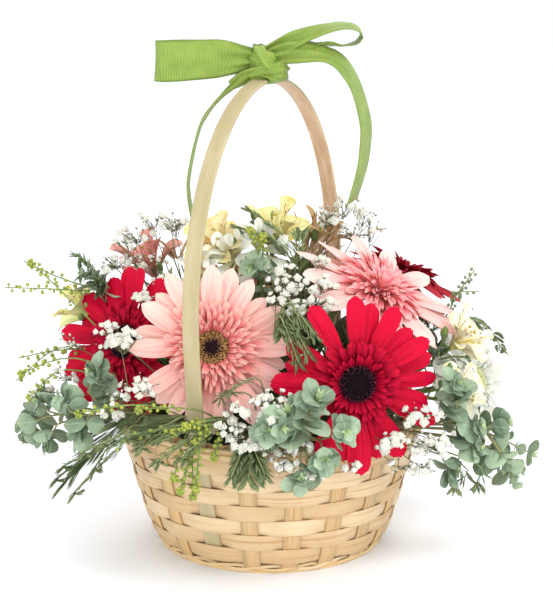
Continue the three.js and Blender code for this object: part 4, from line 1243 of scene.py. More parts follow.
# %% [markdown]
# A petal or a leaf is a thin blade: two curved faces that meet at a sharp edge.
# The outline gives its width along its length. Across, it is cupped and has soft ridges like a real petal.
# The blade is one unit long and one wide, so that each place on the plant can stretch it.

# %% Blades
helper_shapes = []
NOTCHED_END = 0.8


def shape_from(name, points, faces, coordinates=None):
    """A helper shape in unit size. It is deleted once the plants are made."""
    shape = mesh_from(name, [p / MM for p in points], faces, coordinates)
    helper_shapes.append(shape)
    shape.hide_render = True
    return shape


def outline_width(outline, share):
    for (start, first), (end, last) in zip(outline, outline[1:]):
        if share <= end:
            part = (share - start) / (end - start)
            return first + (last - first) * part * part * (3 - 2 * part)
    return outline[-1][1]


def blade_shape(name, outline, rows=8, columns=4, cup=0.0, ridge=0.0, ridges=1.5, rise=0.0, droop=0.0,
                lift=0.0, notch=0.0, thick=0.02):
    """A closed thin blade along +X, with its upper face to +Z. Outline: (share of length, share of width)."""
    slope = math.tan(lift)
    top, coordinates = [], []
    for t in (1 - (1 - i / rows) ** 1.4 for i in range(rows + 1)):
        half = outline_width(outline, t) / 2
        for k in range(columns + 1):
            c = 2 * k / columns - 1
            bulge = cup * c * c * math.sin(math.pi * min(t * 0.9 + 0.1, 1))
            groove = ridge * math.cos(c * math.pi * ridges) * math.sin(math.pi * min(t + 0.05, 1))
            cut = notch * max(0, t - NOTCHED_END) / (1 - NOTCHED_END) * abs(abs(c) - 0.5) * 2
            z = t * (slope + rise) - droop * t * t + bulge + groove
            top.append(Vector((t * math.cos(lift) - cut, c * half, z)))
            coordinates.append((k / columns, t))
    width = columns + 1
    points = list(top)
    bottom = list(range(len(top)))
    for here, point in enumerate(top):
        if 0 < here // width < rows and 0 < here % width < columns:
            bottom[here] = len(points)
            points.append(point - AXIS_Z * thick)
            coordinates.append(coordinates[here])
    faces = []
    for a in range(rows * width):
        if a % width < columns:
            b = a + width
            faces.append((a, b, b + 1, a + 1))
            faces.append(tuple(bottom[corner] for corner in (a, a + 1, b + 1, b)))
    shape = shape_from(name, points, faces, coordinates)
    rim = {here for here, under in enumerate(bottom) if here == under}
    for edge in shape.data.edges:
        edge.use_edge_sharp = set(edge.vertices) <= rim
    return shape


print("blade helper ready")

# %% [markdown]
# The solids tried each stem along a straight way first, and bent it aside until it was clear of its
# neighbours. Each petal was lifted or dropped in the same manner. The finer pieces follow what was found.
# The same draws are made here again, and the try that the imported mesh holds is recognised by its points.

# %% Which way did the solids take
LIKE = 0.01
RINGS_SEEN = 2
PETAL_TURNS = [0, 8, -8, 16, -16, 26, -26, 38]
PETAL_SHARES = (1, 0.8, 0.6)


def seeded(seed):
    state = seed
    while True:
        state = (state * 16807) % 2147483647
        yield state / 2147483647


def between(draw, low, high):
    return low + (high - low) * next(draw)


def sway(draw, reach=1.0):
    """A draw that goes as far below zero as above it."""
    return reach * (next(draw) - 0.5)


def node_points(name):
    """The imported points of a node, ready to be looked up."""
    points = bpy.data.objects[name].data.vertices
    tree = kdtree.KDTree(len(points))
    for i, vertex in enumerate(points):
        tree.insert(vertex.co / MM, i)
    tree.balance()
    return tree


def rod_found(tree, points, share, radius):
    near = tree.find_range(smooth_point(points, share), radius + LIKE)
    return any(distance > radius - LIKE for _, _, distance in near)


def route_of(tree, points, radius, steps, tip_radius=None):
    """The line that the solids' rod took through the points, or None if it was left out."""
    taper = (radius if tip_radius is None else tip_radius) - radius
    draw = seeded(math.floor(1000 * abs(points[0][0] + points[-1][0]) + 0.5) + 17)
    for attempt in range(ROUTE_TRIES):
        reach = ROUTE_REACH * attempt / ROUTE_TRIES
        inner = [tuple(value + sway(draw, 2 * reach) for value in point) for point in points[1:-1]]
        bent = [points[0], *inner, points[-1]]
        shares = [i / steps for i in range(1, steps)]
        seen = sum(rod_found(tree, bent, share, radius + taper * share) for share in shares)
        if seen >= min(RINGS_SEEN, steps - 1):
            return bent
    return None


class Line:
    """A stalk's line in the few straight steps that the solids have, and directions along it."""

    def __init__(self, points, steps):
        self.points = points
        self.steps = steps

    def at(self, share):
        """The point at a share of the line, and the directions along it, to its side and up from it."""
        step = min(int(share * self.steps), self.steps - 1)
        start, end = (smooth_point(self.points, (step + i) / self.steps) for i in (0, 1))
        tangent = (end - start).normalized()
        side = across(tangent)
        return start.lerp(end, share * self.steps - step), tangent, side, tangent.cross(side)

    def smooth(self, count=12):
        return [smooth_point(self.points, i / count) for i in range(count + 1)]


def stalk_line(tree, points, radius, steps, tip_radius=None):
    """A stalk's line, bent as the solids bent theirs, and True if they hold one."""
    route = route_of(tree, points, radius, steps, tip_radius)
    return Line(route or points, steps), bool(route)


def fanned(side, up, turn):
    """The direction at a turn round a stalk."""
    return side * math.cos(turn) + up * math.sin(turn)


print("route helpers ready")

# %% [markdown]
# A gerbera has several rings. The outer ring has long ray petals, about two dozen in two layers.
# Inside them come shorter petals, then a dense mound of narrow strips, and the disc of florets in the middle.
# Every variety shows another mix of the same rings, so each bloom is a row of a table. A variety's colours
# are the long petals at their root's side and at their tip, the root itself, and the inner petals likewise.
# Its disc has a rim, a core and the florets' tips.

# %% Gerbera table
LONG_PETALS = 12
MIDDLE_PETALS = 22
HUB_RADIUS = 0.22
DISC_RADIUS = 0.19
CUP_RADIUS = 0.16
GERBERAS = [
    ("gerbera_pink_front", (-39, -72, 158), (0.02, -0.95, 0.3), 57, (-18, -32, 92), "pink"),
    ("gerbera_red_front", (58, -90, 138), (0.12, -0.97, 0.14), 57, (24, -34, 88), "red"),
    ("gerbera_pink_right", (76, -20, 186), (0.42, -0.35, 0.84), 58, (26, -8, 90), "pink_full"),
    ("gerbera_red_left", (-100, -35, 153), (-0.5, -0.78, 0.38), 56, (-40, -12, 92), "red_close"),
    ("gerbera_dark_red_back", (98, 56, 184), (0.35, 0.1, 0.93), 48, (34, 20, 90), "dark_red"),
    ("gerbera_white_right", (148, 8, 114), (0.76, -0.55, 0.35), 48, (42, 4, 96), "white"),
    ("gerbera_pink_back", (-28, 92, 152), (-0.15, 0.88, 0.42), 54, (-10, 34, 90), "pink"),
]
VARIETIES = {
    "pink": {
        "colours": [(247, 184, 174), (252, 209, 196), (236, 128, 126), (238, 116, 114), (250, 190, 178)],
        "disc": [(160, 122, 76), (44, 26, 36), (216, 184, 118)], "disc_slot": "disc_brown",
        "width": 0.25, "reach": 1.0, "strips": 5, "mound": 1.0, "inward": 0.004, "gaps": 0.1,
        "slot": "pink", "tip": "pointed",
    },
    "pink_full": {
        "colours": [(247, 190, 182), (251, 212, 204), (246, 152, 150), (250, 130, 136), (253, 184, 182)],
        "disc": [(240, 140, 138), (238, 128, 130), (248, 170, 164)], "disc_slot": "disc_brown",
        "width": 0.3, "reach": 1.12, "strips": 6, "mound": 0.98, "inward": 0.03, "gaps": 0.1,
        "slot": "pink", "tip": "pointed",
    },
    "red": {
        "colours": [(192, 0, 42), (202, 2, 50), (132, 0, 34), (164, 2, 38), (200, 6, 50)],
        "disc": [(42, 20, 30), (27, 14, 21), (176, 66, 92)], "disc_slot": "disc_dark",
        "width": 0.25, "reach": 1.0, "strips": 2, "mound": 0.8, "inward": 0.004, "gaps": 0.6,
        "slot": "red", "tip": "blunt",
    },
    "dark_red": {
        "colours": [(156, 14, 34), (184, 30, 50), (106, 6, 22), (136, 10, 30), (168, 26, 46)],
        "disc": [(44, 20, 24), (30, 14, 18), (150, 70, 70)], "disc_slot": "disc_dark",
        "width": 0.27, "reach": 1.0, "strips": 3, "mound": 1.1, "inward": 0.004, "gaps": 0.1,
        "slot": "dark_red", "tip": "pointed",
    },
    "white": {
        "colours": [(212, 210, 200), (227, 225, 216), (206, 206, 186), (228, 227, 212), (238, 237, 226)],
        "disc": [(222, 222, 176), (206, 208, 150), (236, 238, 200)], "disc_slot": "disc_green",
        "width": 0.27, "reach": 1.07, "strips": 2, "mound": 0.7, "inward": 0.004, "gaps": 0.0,
        "slot": "white", "tip": "blunt",
    },
}
VARIETIES["red_close"] = dict(VARIETIES["red"], gaps=0.15)
print(len(GERBERAS), "gerberas of", len(VARIETIES), "varieties")

# %% [markdown]
# Petals are soft and let some light through, so they have a low, broad shine and a little light under the
# skin. The colour runs from root to tip in the petal's unwrapped coordinates, and fine veins run with it.

# %% Petal finish
def petal_finish(name, root, middle, tip, root_end, vein_depth):
    graph = Finish(name, 0.6, Subsurface_Weight=0.12, Subsurface_Scale=0.002, Specular_IOR_Level=0.12)
    across_petal, along_petal = graph.unwrapped()
    tint = graph.attribute("tint")
    streak = graph.noise_over(across_petal * 8, along_petal * 1.2, tint * 50, detail=3)
    colour = mixed(spread(along_petal + (streak - 0.5) * 0.3, root_end, 1.0), middle, tip)
    colour = mixed(faded(along_petal - streak * 0.25, 0.0, root_end), colour, root)
    paler_outwards = spread(along_petal, 0.3, 1.0, 1.0, 0.45)
    colour = mixed(spread(streak, 0.45, 0.66) * paler_outwards * vein_depth, colour, root)
    colour = mixed((tint - 0.5).math("ABSOLUTE") * 0.3, colour, tip)
    return graph.shade(colour, streak, 0.0014, 0.6)


for variety, look in VARIETIES.items():
    low, high, root, inner_low, inner_high = (screen(*colour) for colour in look["colours"])
    look["outer_finish"] = petal_finish(f"petal_{variety}_outer", root, low, high, 0.35, 0.6)
    look["inner_finish"] = petal_finish(f"petal_{variety}_inner", root, inner_low, inner_high, 0.5, 0.5)
print("petal finishes:", list(VARIETIES))

# %% [markdown]
# Three blades serve every gerbera: the long outer petal with its notched tip, blunt or pointed, the middle
# petal, and the narrow strip of the mound, which curls up and over.

# %% Gerbera petals
LONG_OUTLINES = {
    "blunt": [(0, 0.34), (0.6, 0.97), (0.8, 1), (0.92, 0.85), (0.98, 0.58), (1, 0.22)],
    "pointed": [(0, 0.34), (0.5, 0.95), (0.68, 1), (0.86, 0.8), (0.95, 0.5), (1, 0.12)],
}
LONG_RIDGES = {"blunt": 0.026, "pointed": 0.03}
LONG_NOTCHES = {"blunt": 0.035, "pointed": 0.02}
STRIP_OUTLINE = [(0, 0.5), (0.6, 1), (0.9, 0.8), (1, 0.3)]
LONG_RISE = 0.16
LONG_DROOP = 0.2
long_petals = {
    tip: blade_shape(f"long_petal_{tip}", outline, columns=6, cup=-0.05, ridge=LONG_RIDGES[tip], ridges=2,
                     rise=LONG_RISE, droop=LONG_DROOP, notch=LONG_NOTCHES[tip], thick=0.014)
    for tip, outline in LONG_OUTLINES.items()
}
middle_petal = blade_shape("middle_petal", LONG_OUTLINES["blunt"], rows=6, cup=0.08, ridge=0.02, ridges=2,
                           rise=0.3, droop=0.42, notch=0.03)
strip_petal = blade_shape("strip_petal", STRIP_OUTLINE, rows=4, columns=2, cup=0.15, rise=0.5, droop=0.55,
                          thick=0.04)


def seat_at(angle, out, height):
    """A frame turned about +Z, with its origin out along its own +X."""
    return Matrix.Rotation(angle, 4, "Z") @ Matrix.Translation((out, 0, height))


def held_lift(tree, frame, angle, root_radius, shape):
    """How far the solids lifted a petal, and the share of its length it kept. None if it was left out."""
    length, width, lift, rise, droop, tip_share, root_height = shape
    seat = frame @ seat_at(angle, root_radius, root_height)
    for share in PETAL_SHARES:
        for turn in PETAL_TURNS:
            now = lift + math.radians(turn)
            reach = length * share
            slope = math.tan(now) + rise
            under = Vector((math.cos(now), 0, slope - 2 * droop)).normalized().cross(AXIS_Y)
            tip = Vector((reach * math.cos(now), width * tip_share / 2, reach * (slope - droop)))
            if tree.find(seat @ (tip + under * BLADE / 2))[2] < LIKE:
                return now, share
    return None


def petal_place(bunch, frame, angle, seat, lift, twist, size, kind):
    turned = Matrix.Rotation(-lift, 4, "Y") @ Matrix.Rotation(twist, 4, "X")
    bunch.place(frame @ (seat_at(angle, *seat) @ turned), size, kind)


print("petal blades:", len(helper_shapes))

# %% [markdown]
# The twelve long petals stand where the solids put theirs, lifted as far as each of those was.
# A second layer lies lower, one petal in each gap that has a neighbour, except where a variety leaves gaps.

# %% Long petals
ROOT_RADIUS = 0.2
UPPER_HEIGHT = -0.3
LOWER_HEIGHT = -1.1
LOWER_DROP = 0.09


def held_petals(name, frame, radius, index):
    """For each long petal of the solids its angle, its length, and its (lift, share) or None."""
    tree = node_points(name + "_petals")
    draw = seeded(101 + index)
    held = []
    for i in range(LONG_PETALS):
        angle = 2 * math.pi * i / LONG_PETALS
        length = radius * between(draw, 0.74, 0.8)
        lift = 0.1 * (next(draw) - 0.4)
        next(draw)
        shape = (length, 0.34 * radius, lift, LONG_RISE, LONG_DROOP, 0.45, -BLADE / 2)
        held.append((angle, length, held_lift(tree, frame, angle, HUB_RADIUS * radius, shape)))
    return held


def long_ring(bunch, frame, radius, look, held, fine):
    width = look["width"] * radius
    for i, (angle, length, found) in enumerate(held):
        both = [one for one in (found, held[(i + 1) % LONG_PETALS][2]) if one]
        if found:
            lift, share = found
            long = length * share * look["reach"]
            size = (long * between(fine, 1, 1.1), width * between(fine, 0.85, 1.15), length * share)
            seat = (ROOT_RADIUS * radius, UPPER_HEIGHT)
            petal_place(bunch, frame, angle, seat, lift, sway(fine, 0.5), size, 0)
        if both and next(fine) >= look["gaps"]:
            lift = sum(one[0] for one in both) / len(both) - LOWER_DROP
            share = min(one[1] for one in both)
            long = length * share * look["reach"]
            size = (long * between(fine, 0.88, 1.06), width * between(fine, 0.8, 1.1), length * share)
            turned = angle + between(fine, 0.8, 1.2) * math.pi / LONG_PETALS
            seat = (ROOT_RADIUS * radius, LOWER_HEIGHT)
            petal_place(bunch, frame, turned, seat, lift, sway(fine, 0.6), size, 0)


print("two layers of long petals")

# %% [markdown]
# Middle petals follow the lift of the long ones behind them. The strips of the mound stand steeper from ring
# to ring. In a full bloom the rings crowd inwards until they hide the disc.

# %% The inner rings and the whole bloom
MOUND_ROOT = 0.215
STRIP_WIDTH = 0.058
STRIPS_A_RING = 38
FEWER_A_RING = 4
RING_STEP = 0.5


def middle_ring(bunch, frame, radius, look, held, fine):
    lifts = [found[0] if found else 0.0 for _, _, found in held]
    for i in range(MIDDLE_PETALS):
        angle = 2 * math.pi * (i + 0.4 * next(fine)) / MIDDLE_PETALS
        behind = lifts[int(angle / (2 * math.pi) * LONG_PETALS) % LONG_PETALS]
        length = radius * between(fine, 0.32, 0.46) * look["mound"]
        lift = max(behind, 0) + between(fine, 0.12, 0.22)
        twist = sway(fine, 0.6)
        size = (length, between(fine, 0.09, 0.13) * radius, length)
        petal_place(bunch, frame, angle, (ROOT_RADIUS * radius, 0.1), lift, twist, size, 1)


def strip_ring(bunch, frame, radius, look, ring, fine):
    count = STRIPS_A_RING - FEWER_A_RING * ring
    share = ring / look["strips"]
    for i in range(count):
        angle = 2 * math.pi * (i + 0.5 * (ring % 2) + 0.5 * next(fine)) / count
        length = radius * (0.33 - 0.2 * share) * between(fine, 0.8, 1.2) * look["mound"]
        lift = 0.3 + 0.9 * share + 0.25 * next(fine)
        seat = ((MOUND_ROOT - look["inward"] * ring) * radius, 0.3 + RING_STEP * ring)
        size = (length, STRIP_WIDTH * radius, length * 0.8)
        petal_place(bunch, frame, angle, seat, lift, sway(fine, 0.9), size, 2)


def gerbera_petals(name, at, faces, radius, variety, index):
    look = VARIETIES[variety]
    frame = bloom_frame(at, faces)
    fine = seeded(9001 + index)
    held = held_petals(name, frame, radius, index)
    outer, inner = Bunch(), Bunch()
    long_ring(outer, frame, radius, look, held, fine)
    middle_ring(inner, frame, radius, look, held, fine)
    for ring in range(look["strips"]):
        strip_ring(inner, frame, radius, look, ring, fine)
    shapes = [long_petals[look["tip"]], middle_petal, strip_petal]
    rings = [
        outer.grow(name + "_outer", shapes, look["outer_finish"], wobble=0.07, spread=0.08, seed=index),
        inner.grow(name + "_inner", shapes, look["inner_finish"], wobble=0.06, spread=0.1, seed=index + 50),
    ]
    return keep(joined(name + "_rays", rings), "petal_" + look["slot"], [name + "_petals"])


for index, (name, at, faces, radius, foot, variety) in enumerate(GERBERAS):
    petals = gerbera_petals(name, at, faces, radius, variety, index)
    print(petals.name, len(petals.data.polygons), "faces")

# %% [markdown]
# The disc is a low dome packed with florets, set in the two families of spirals that a sunflower has.
# Each floret turns by the golden angle from the one before, so the packing is even.
# The youngest, in the middle, are the darkest. The oldest, at the edge, open with pale tips.

# %% Gerbera discs
GOLDEN_ANGLE = math.pi * (3 - math.sqrt(5))
FLORETS = 190
OPEN_FROM = 0.62
OPENING = (0.6, 0.78)
PINK_OPENING = (0.42, 0.5)
DOME_SIDES = 24
DOME_SHADE = 0.75
DOME = [(1.0, -0.2), (0.96, 1.2), (0.7, 2.5), (0.3, 3.1)]


def bud_shape(name, profile, sides=5):
    """A small closed turned body from (radius, height) pairs, in unit size."""
    coordinates = [(k / sides, height) for _, height in profile for k in range(sides)]
    return shape_from(name, turned_rings(profile, sides), ring_faces(len(profile), sides), coordinates)


floret = bud_shape("disc_floret", [(0.28, 0), (0.42, 0.55), (0.34, 0.85), (0.12, 1)])
open_floret = bud_shape("open_floret", [(0.22, 0), (0.3, 0.6), (0.48, 1), (0.2, 0.9)])


def disc_finish(name, look):
    graph = Finish(name, 0.75, Specular_IOR_Level=0.15)
    rim, core, tip = (screen(*colour) for colour in look["disc"])
    core_end, tip_start = PINK_OPENING if look["slot"] == "pink" else OPENING
    from_core = graph.attribute("shade")
    _, height = graph.unwrapped()
    tint = graph.attribute("tint")
    edge = spread(from_core + (tint - 0.5) * 0.1, core_end - 0.1, core_end + 0.06)
    outer_tip = spread(height, 0.7, 1.0) * spread(from_core, tip_start, 0.97) * (0.4 + tint * 0.6)
    return graph.shade(mixed(outer_tip, mixed(edge, core, rim), tip))


def disc_dome(name, frame, reach, material):
    points = [frame @ point for point in turned_rings([(share * reach, z) for share, z in DOME], DOME_SIDES)]
    ground = mesh_from(name, points, ring_faces(len(DOME), DOME_SIDES), None, [material])
    shades = [share * DOME_SHADE for share, _ in DOME for _ in range(DOME_SIDES)]
    ground.data.attributes.new("shade", "FLOAT", "POINT").data.foreach_set("value", shades)
    return ground


def gerbera_disc(name, at, faces, radius, variety, index):
    look = VARIETIES[variety]
    frame = bloom_frame(at, faces)
    reach = DISC_RADIUS * radius + 1
    ground = disc_dome(name + "_dome", frame, reach, look["disc_finish"])
    bunch = Bunch()
    for i in range(FLORETS):
        share = math.sqrt((i + 0.5) / FLORETS)
        seat = seat_at(i * GOLDEN_ANGLE, share * reach, 2.8 * (1 - share ** 3) - 0.2)
        lean = Matrix.Rotation(0.75 * share ** 2, 4, "Y")
        width = 1.5 + 0.6 * share
        size = (width, width, 2.1 + 1.6 * share)
        bunch.place(frame @ (seat @ lean), size, int(share > OPEN_FROM), share)
    florets = bunch.grow(name + "_florets", [floret, open_floret], look["disc_finish"], wobble=0.25,
                         spread=0.15, seed=index + 100)
    return keep(joined(name + "_disc_florets", [ground, florets]), look["disc_slot"], [name + "_disc"])


for variety, look in VARIETIES.items():
    look["disc_finish"] = disc_finish(f"disc_{variety}", look)
for index, (name, at, faces, radius, foot, variety) in enumerate(GERBERAS):
    gerbera_disc(name, at, faces, radius, variety, index)
print(len(GERBERAS), "discs of", FLORETS, "florets")

# %% [markdown]
# Under the bloom a green cup of scales holds the petals, and a soft round stem carries it down into the foam.
# Most of it can't be seen from the front, but the back of a bloom shows it well.

# %% Gerbera stems
STEM_RADIUS = 2.1
NECK_RADIUS = 2.3
NECK_DEPTH = 8
BEND_DEPTH = 32
CUP_SIDES = 20
CUP_PROFILE = [(NECK_RADIUS, -11.3), (4.4, -9.0), (7.2, -5.4)]
CUP_EDGE = (-2.0, -1.2)
SCALE_RINGS = [(4.6, -9.6, 6.5), (6.6, -7.0, 6.5), (8.3, -4.4, 5)]
SCALES_A_RING = 14
SCALE_WIDTH = 2.6


def stalk_finish(name, low, high, rough=0.6):
    graph = Finish(name, rough, Specular_IOR_Level=0.3)
    place = graph.place()
    streak = noise(place, scale=420)
    patch = noise(place, scale=40)
    colour = mixed(spread(patch * 0.6 + streak * 0.4, 0.3, 0.7), low, high)
    return graph.shade(colour, streak, 0.0003, 0.4)


STEM_FINISH = stalk_finish("fresh_stem", screen(96, 122, 62), screen(138, 160, 92))
SCALE_OUTLINE = [(0, 1), (0.5, 0.85), (1, 0.1)]
scale_leaf = blade_shape("cup_scale", SCALE_OUTLINE, rows=3, columns=2, cup=-0.1, thick=0.08)


def gerbera_stem(name, at, faces, radius, foot, index):
    frame = bloom_frame(at, faces)
    neck = frame @ Vector((0, 0, -NECK_DEPTH))
    bend = (frame @ Vector((0, 0, -BEND_DEPTH))).lerp(Vector(foot), 0.35)
    line, held = stalk_line(node_points(name + "_stem"), [foot, bend, neck], STEM_RADIUS, 3)
    bunch = Bunch()
    bunch.stalk(line.smooth(14), STEM_RADIUS, NECK_RADIUS)
    profile = CUP_PROFILE + [(CUP_RADIUS * radius, height) for height in CUP_EDGE]
    cup = [frame @ point for point in turned_rings(profile, CUP_SIDES)]
    body = mesh_from(name + "_cup", cup, ring_faces(len(profile), CUP_SIDES), None, [STEM_FINISH])
    for ring, (out, low, length) in enumerate(SCALE_RINGS):
        for k in range(SCALES_A_RING):
            angle = 2 * math.pi * (k + 0.5 * (ring % 2)) / SCALES_A_RING
            petal_place(bunch, frame, angle, (out, low), 1.0, 0.0, (length, SCALE_WIDTH, length), 0)
    stalk = bunch.grow(name + "_stalk", [scale_leaf], STEM_FINISH, None, 10, 0.06, 0.1, index)
    keep(joined(name + "_stem_round", [body, stalk]), "stem", [name + "_stem"])
    return held


found = [gerbera_stem(*row[:5], index) for index, row in enumerate(GERBERAS)]
print("stems that follow the solids:", sum(found), "of", len(found))

# %% [markdown]
# Alstroemeria, the lily of the Incas, has three broad outer tepals and three narrow inner ones with dark
# streaks. Six stamens bend up out of the throat. Several blooms stand on stalks that part from one stem.
# The two kinds of tepal are baked with the curve that the solids have, and each place only turns them.

# %% Alstroemeria table
THROAT_RADIUS = 2.8
TEPAL_RISE = 0.3
TEPAL_DROOP = 0.72
TEPAL_LIFTS = (0.75, 0.95)
TEPAL_REACHES = (1, 0.94)
TEPAL_WIDTHS = (0.46, 0.3)
TEPAL_FULLNESS = (1.5, 1.3)
DOUBLE_LOOKS = ("cream", "gold", "lemon")
ALSTROEMERIAS = [
    ("alstroemeria_cream_left", (-33, 22, 204), (-0.35, -0.6, 0.72), 34, "gold"),
    ("alstroemeria_cream_top", (2, 38, 208), (0.05, -0.4, 0.92), 34, "lemon"),
    ("alstroemeria_amber_top", (34, 58, 202), (0.35, 0.1, 0.93), 30, "amber"),
    ("alstroemeria_lime_left", (-126, 14, 160), (-0.8, -0.2, 0.57), 32, "lime"),
    ("alstroemeria_cream_right", (128, -20, 146), (0.6, -0.4, 0.7), 30, "cream"),
    ("alstroemeria_cream_low", (124, -50, 120), (0.6, -0.66, 0.45), 26, "cream"),
    ("alstroemeria_dusty_left", (-84, 30, 186), (-0.35, -0.2, 0.92), 36, "dusty"),
]
UMBELS = [
    ("alstroemeria_stem_top", (4, 12, 92), (2, 28, 160), (0, 1, 2)),
    ("alstroemeria_stem_left", (-38, 8, 94), (-80, 14, 130), (3, 6)),
    ("alstroemeria_stem_right", (44, -16, 98), (86, -22, 116), (4, 5)),
]
TEPAL_LOOKS = {
    "cream": (screen(238, 224, 140), screen(246, 242, 222), screen(240, 226, 150), screen(200, 168, 96)),
    "gold": (screen(222, 176, 66), screen(240, 228, 178), screen(236, 218, 130), screen(208, 166, 84)),
    "lemon": (screen(244, 238, 190), screen(242, 236, 176), screen(226, 206, 88), screen(212, 186, 88)),
    "lime": (screen(216, 208, 100), screen(234, 232, 168), screen(220, 222, 130), screen(186, 190, 96)),
    "amber": (screen(216, 166, 84), screen(236, 202, 142), screen(226, 178, 118), screen(178, 120, 70)),
    "dusty": (screen(196, 104, 96), screen(222, 150, 140), screen(230, 174, 158), screen(174, 94, 84)),
}
STREAK_COLOUR = screen(110, 44, 36)
print(len(ALSTROEMERIAS), "alstroemerias on", len(UMBELS), "stems")

# %% [markdown]
# The finish shows the broad keel and the pale rim of a tepal. On the inner ones the streaks are short dark
# dashes. They are made from noise that is stretched along the tepal and cut off sharply.

# %% Tepal finishes and shapes
def tepal_finish(name, root, middle, tip, keel, streaked):
    graph = Finish(name, 0.45, Subsurface_Weight=0.12, Subsurface_Scale=0.002, Specular_IOR_Level=0.35)
    across_tepal, along_tepal = graph.unwrapped()
    tint = graph.attribute("tint")
    fine = graph.noise_over(across_tepal * 22, along_tepal * 2, tint * 30)
    colour = mixed(spread(along_tepal, 0.1, 0.5), root, middle)
    colour = mixed(spread(along_tepal, 0.72, 1.0) * 0.8, colour, tip)
    colour = mixed(faded(from_middle(across_tepal), 0.0, 0.32) * 0.45, colour, keel)
    colour = mixed(spread(fine, 0.5, 0.8) * 0.3, colour, keel)
    if streaked:
        dash = graph.noise_over(across_tepal * 16, along_tepal * 7, tint * 9, detail=1)
        zone = spread(along_tepal, 0.15, 0.3) * faded(along_tepal, 0.75, 0.9)
        colour = mixed(spread(dash, 0.6, 0.66) * zone, colour, STREAK_COLOUR)
    return graph.shade(colour, fine, 0.0003, 0.35)


def tepal_shape(name, outline, lift, **form):
    return blade_shape(name, outline, rows=9, rise=TEPAL_RISE, droop=TEPAL_DROOP, lift=lift, **form)


TEPAL_OUTLINE = [(0, 0.14), (0.58, 1), (0.82, 0.9), (0.94, 0.55), (1, 0.08)]
INNER_OUTLINE = [(0, 0.2), (0.3, 0.35), (0.7, 1), (0.88, 0.7), (1, 0.05)]
tepals = [
    tepal_shape("outer_tepal", TEPAL_OUTLINE, TEPAL_LIFTS[0], columns=6, cup=0.12, ridge=0.01, thick=0.012),
    tepal_shape("inner_tepal", INNER_OUTLINE, TEPAL_LIFTS[1], cup=0.2, ridge=0.015, thick=0.015),
]
anther = bud_shape("anther", [(0.12, -0.5), (0.3, -0.2), (0.3, 0.25), (0.1, 0.5)])
flower_bud = bud_shape("flower_bud", [(0.12, 0), (0.34, 0.3), (0.36, 0.55), (0.2, 0.85), (0.05, 1)], 8)
ANTHER_FINISH = stalk_finish("anther", screen(150, 140, 70), screen(196, 182, 96), 0.9)
tepal_finishes = {
    look: [tepal_finish(f"tepal_{look}_{kind}", *colours, kind == "inner") for kind in ("outer", "inner")]
    for look, colours in TEPAL_LOOKS.items()
}
print("tepals in", len(tepal_finishes), "looks")

# %% [markdown]
# A bloom sets its six tepals by turns, outer and inner. The fuller looks have a second, shorter tepal beside
# each one. The stamens start in the throat, bend down as they come out, and carry an anther each.

# %% Alstroemeria blooms
TEPALS = 6
TEPAL_ROOT = 1.8
TEPAL_HEIGHT = -0.4
SECOND_HEIGHT = -0.2
SECOND_LIFT = 0.12
SECOND_SHARE = 0.86
STAMEN_BEND = 5
STAMEN_RADII = (0.45, 0.3)
ANTHER_SIZE = (3.2, 2.4, 3.2)


def stamens_of(frame, length, fine):
    stamens = Bunch()
    for i in range(TEPALS):
        angle = 2 * math.pi * (i + 0.5) / TEPALS
        out = length * between(fine, 0.16, 0.26)
        high = length * between(fine, 0.62, 0.78)
        line = [
            frame @ (polar(out * t, angle, high * t) - AXIS_Y * STAMEN_BEND * t * t)
            for t in (0, 0.35, 0.7, 1)
        ]
        stamens.stalk(line, *STAMEN_RADII)
        stamens.place(frame_of(line[-1], line[-1] - line[-2], AXIS_X), ANTHER_SIZE)
    return stamens


def alstroemeria(name, at, faces, length, look, index):
    frame = bloom_frame(at, faces)
    tree = node_points(name)
    draw = seeded(301 + index)
    fine = seeded(8101 + index)
    rings = [Bunch(), Bunch()]
    for i in range(TEPALS):
        inner = i % 2
        angle = 2 * math.pi * (i + 0.1 * next(draw)) / TEPALS
        reach = length * TEPAL_REACHES[inner]
        width = length * TEPAL_WIDTHS[inner]
        lift = TEPAL_LIFTS[inner]
        shape = (reach, width, lift, TEPAL_RISE, TEPAL_DROOP, 0.3, BLADE / 2)
        found = held_lift(tree, frame, angle, THROAT_RADIUS, shape)
        if not found:
            continue
        turned, share = found[0] - lift, found[1]
        size = Vector((reach * share, width * TEPAL_FULLNESS[inner], reach * share))
        seat = (TEPAL_ROOT, TEPAL_HEIGHT)
        petal_place(rings[inner], frame, angle, seat, turned, sway(fine, 0.3), size, inner)
        if look in DOUBLE_LOOKS:
            beside = angle + math.pi / TEPALS
            seat = (TEPAL_ROOT, SECOND_HEIGHT)
            petal_place(rings[0], frame, beside, seat, turned + SECOND_LIFT, 0.3, size * SECOND_SHARE, 0)
    finishes = tepal_finishes[look]
    grown = [
        ring.grow(name + "_ring", tepals, finishes[k], None, 6, 0.05, 0.05, index + 10 * k)
        for k, ring in enumerate(rings)
    ]
    stamens = stamens_of(frame, length, fine)
    grown.append(stamens.grow(name + "_stamens", [anther], ANTHER_FINISH, finishes[0], 5, 0.3, 0.2, index))
    slot = "petal_dusty" if look == "dusty" else "petal_cream"
    return keep(joined(name + "_bloom", grown), slot, [name])


for index, row in enumerate(ALSTROEMERIAS):
    bloom = alstroemeria(*row, index)
    print(bloom.name, len(bloom.data.polygons), "faces")

# %% [markdown]
# The stalks of a head part from the stem's top. Narrow leaves stand in a whorl below them, and buds wait.

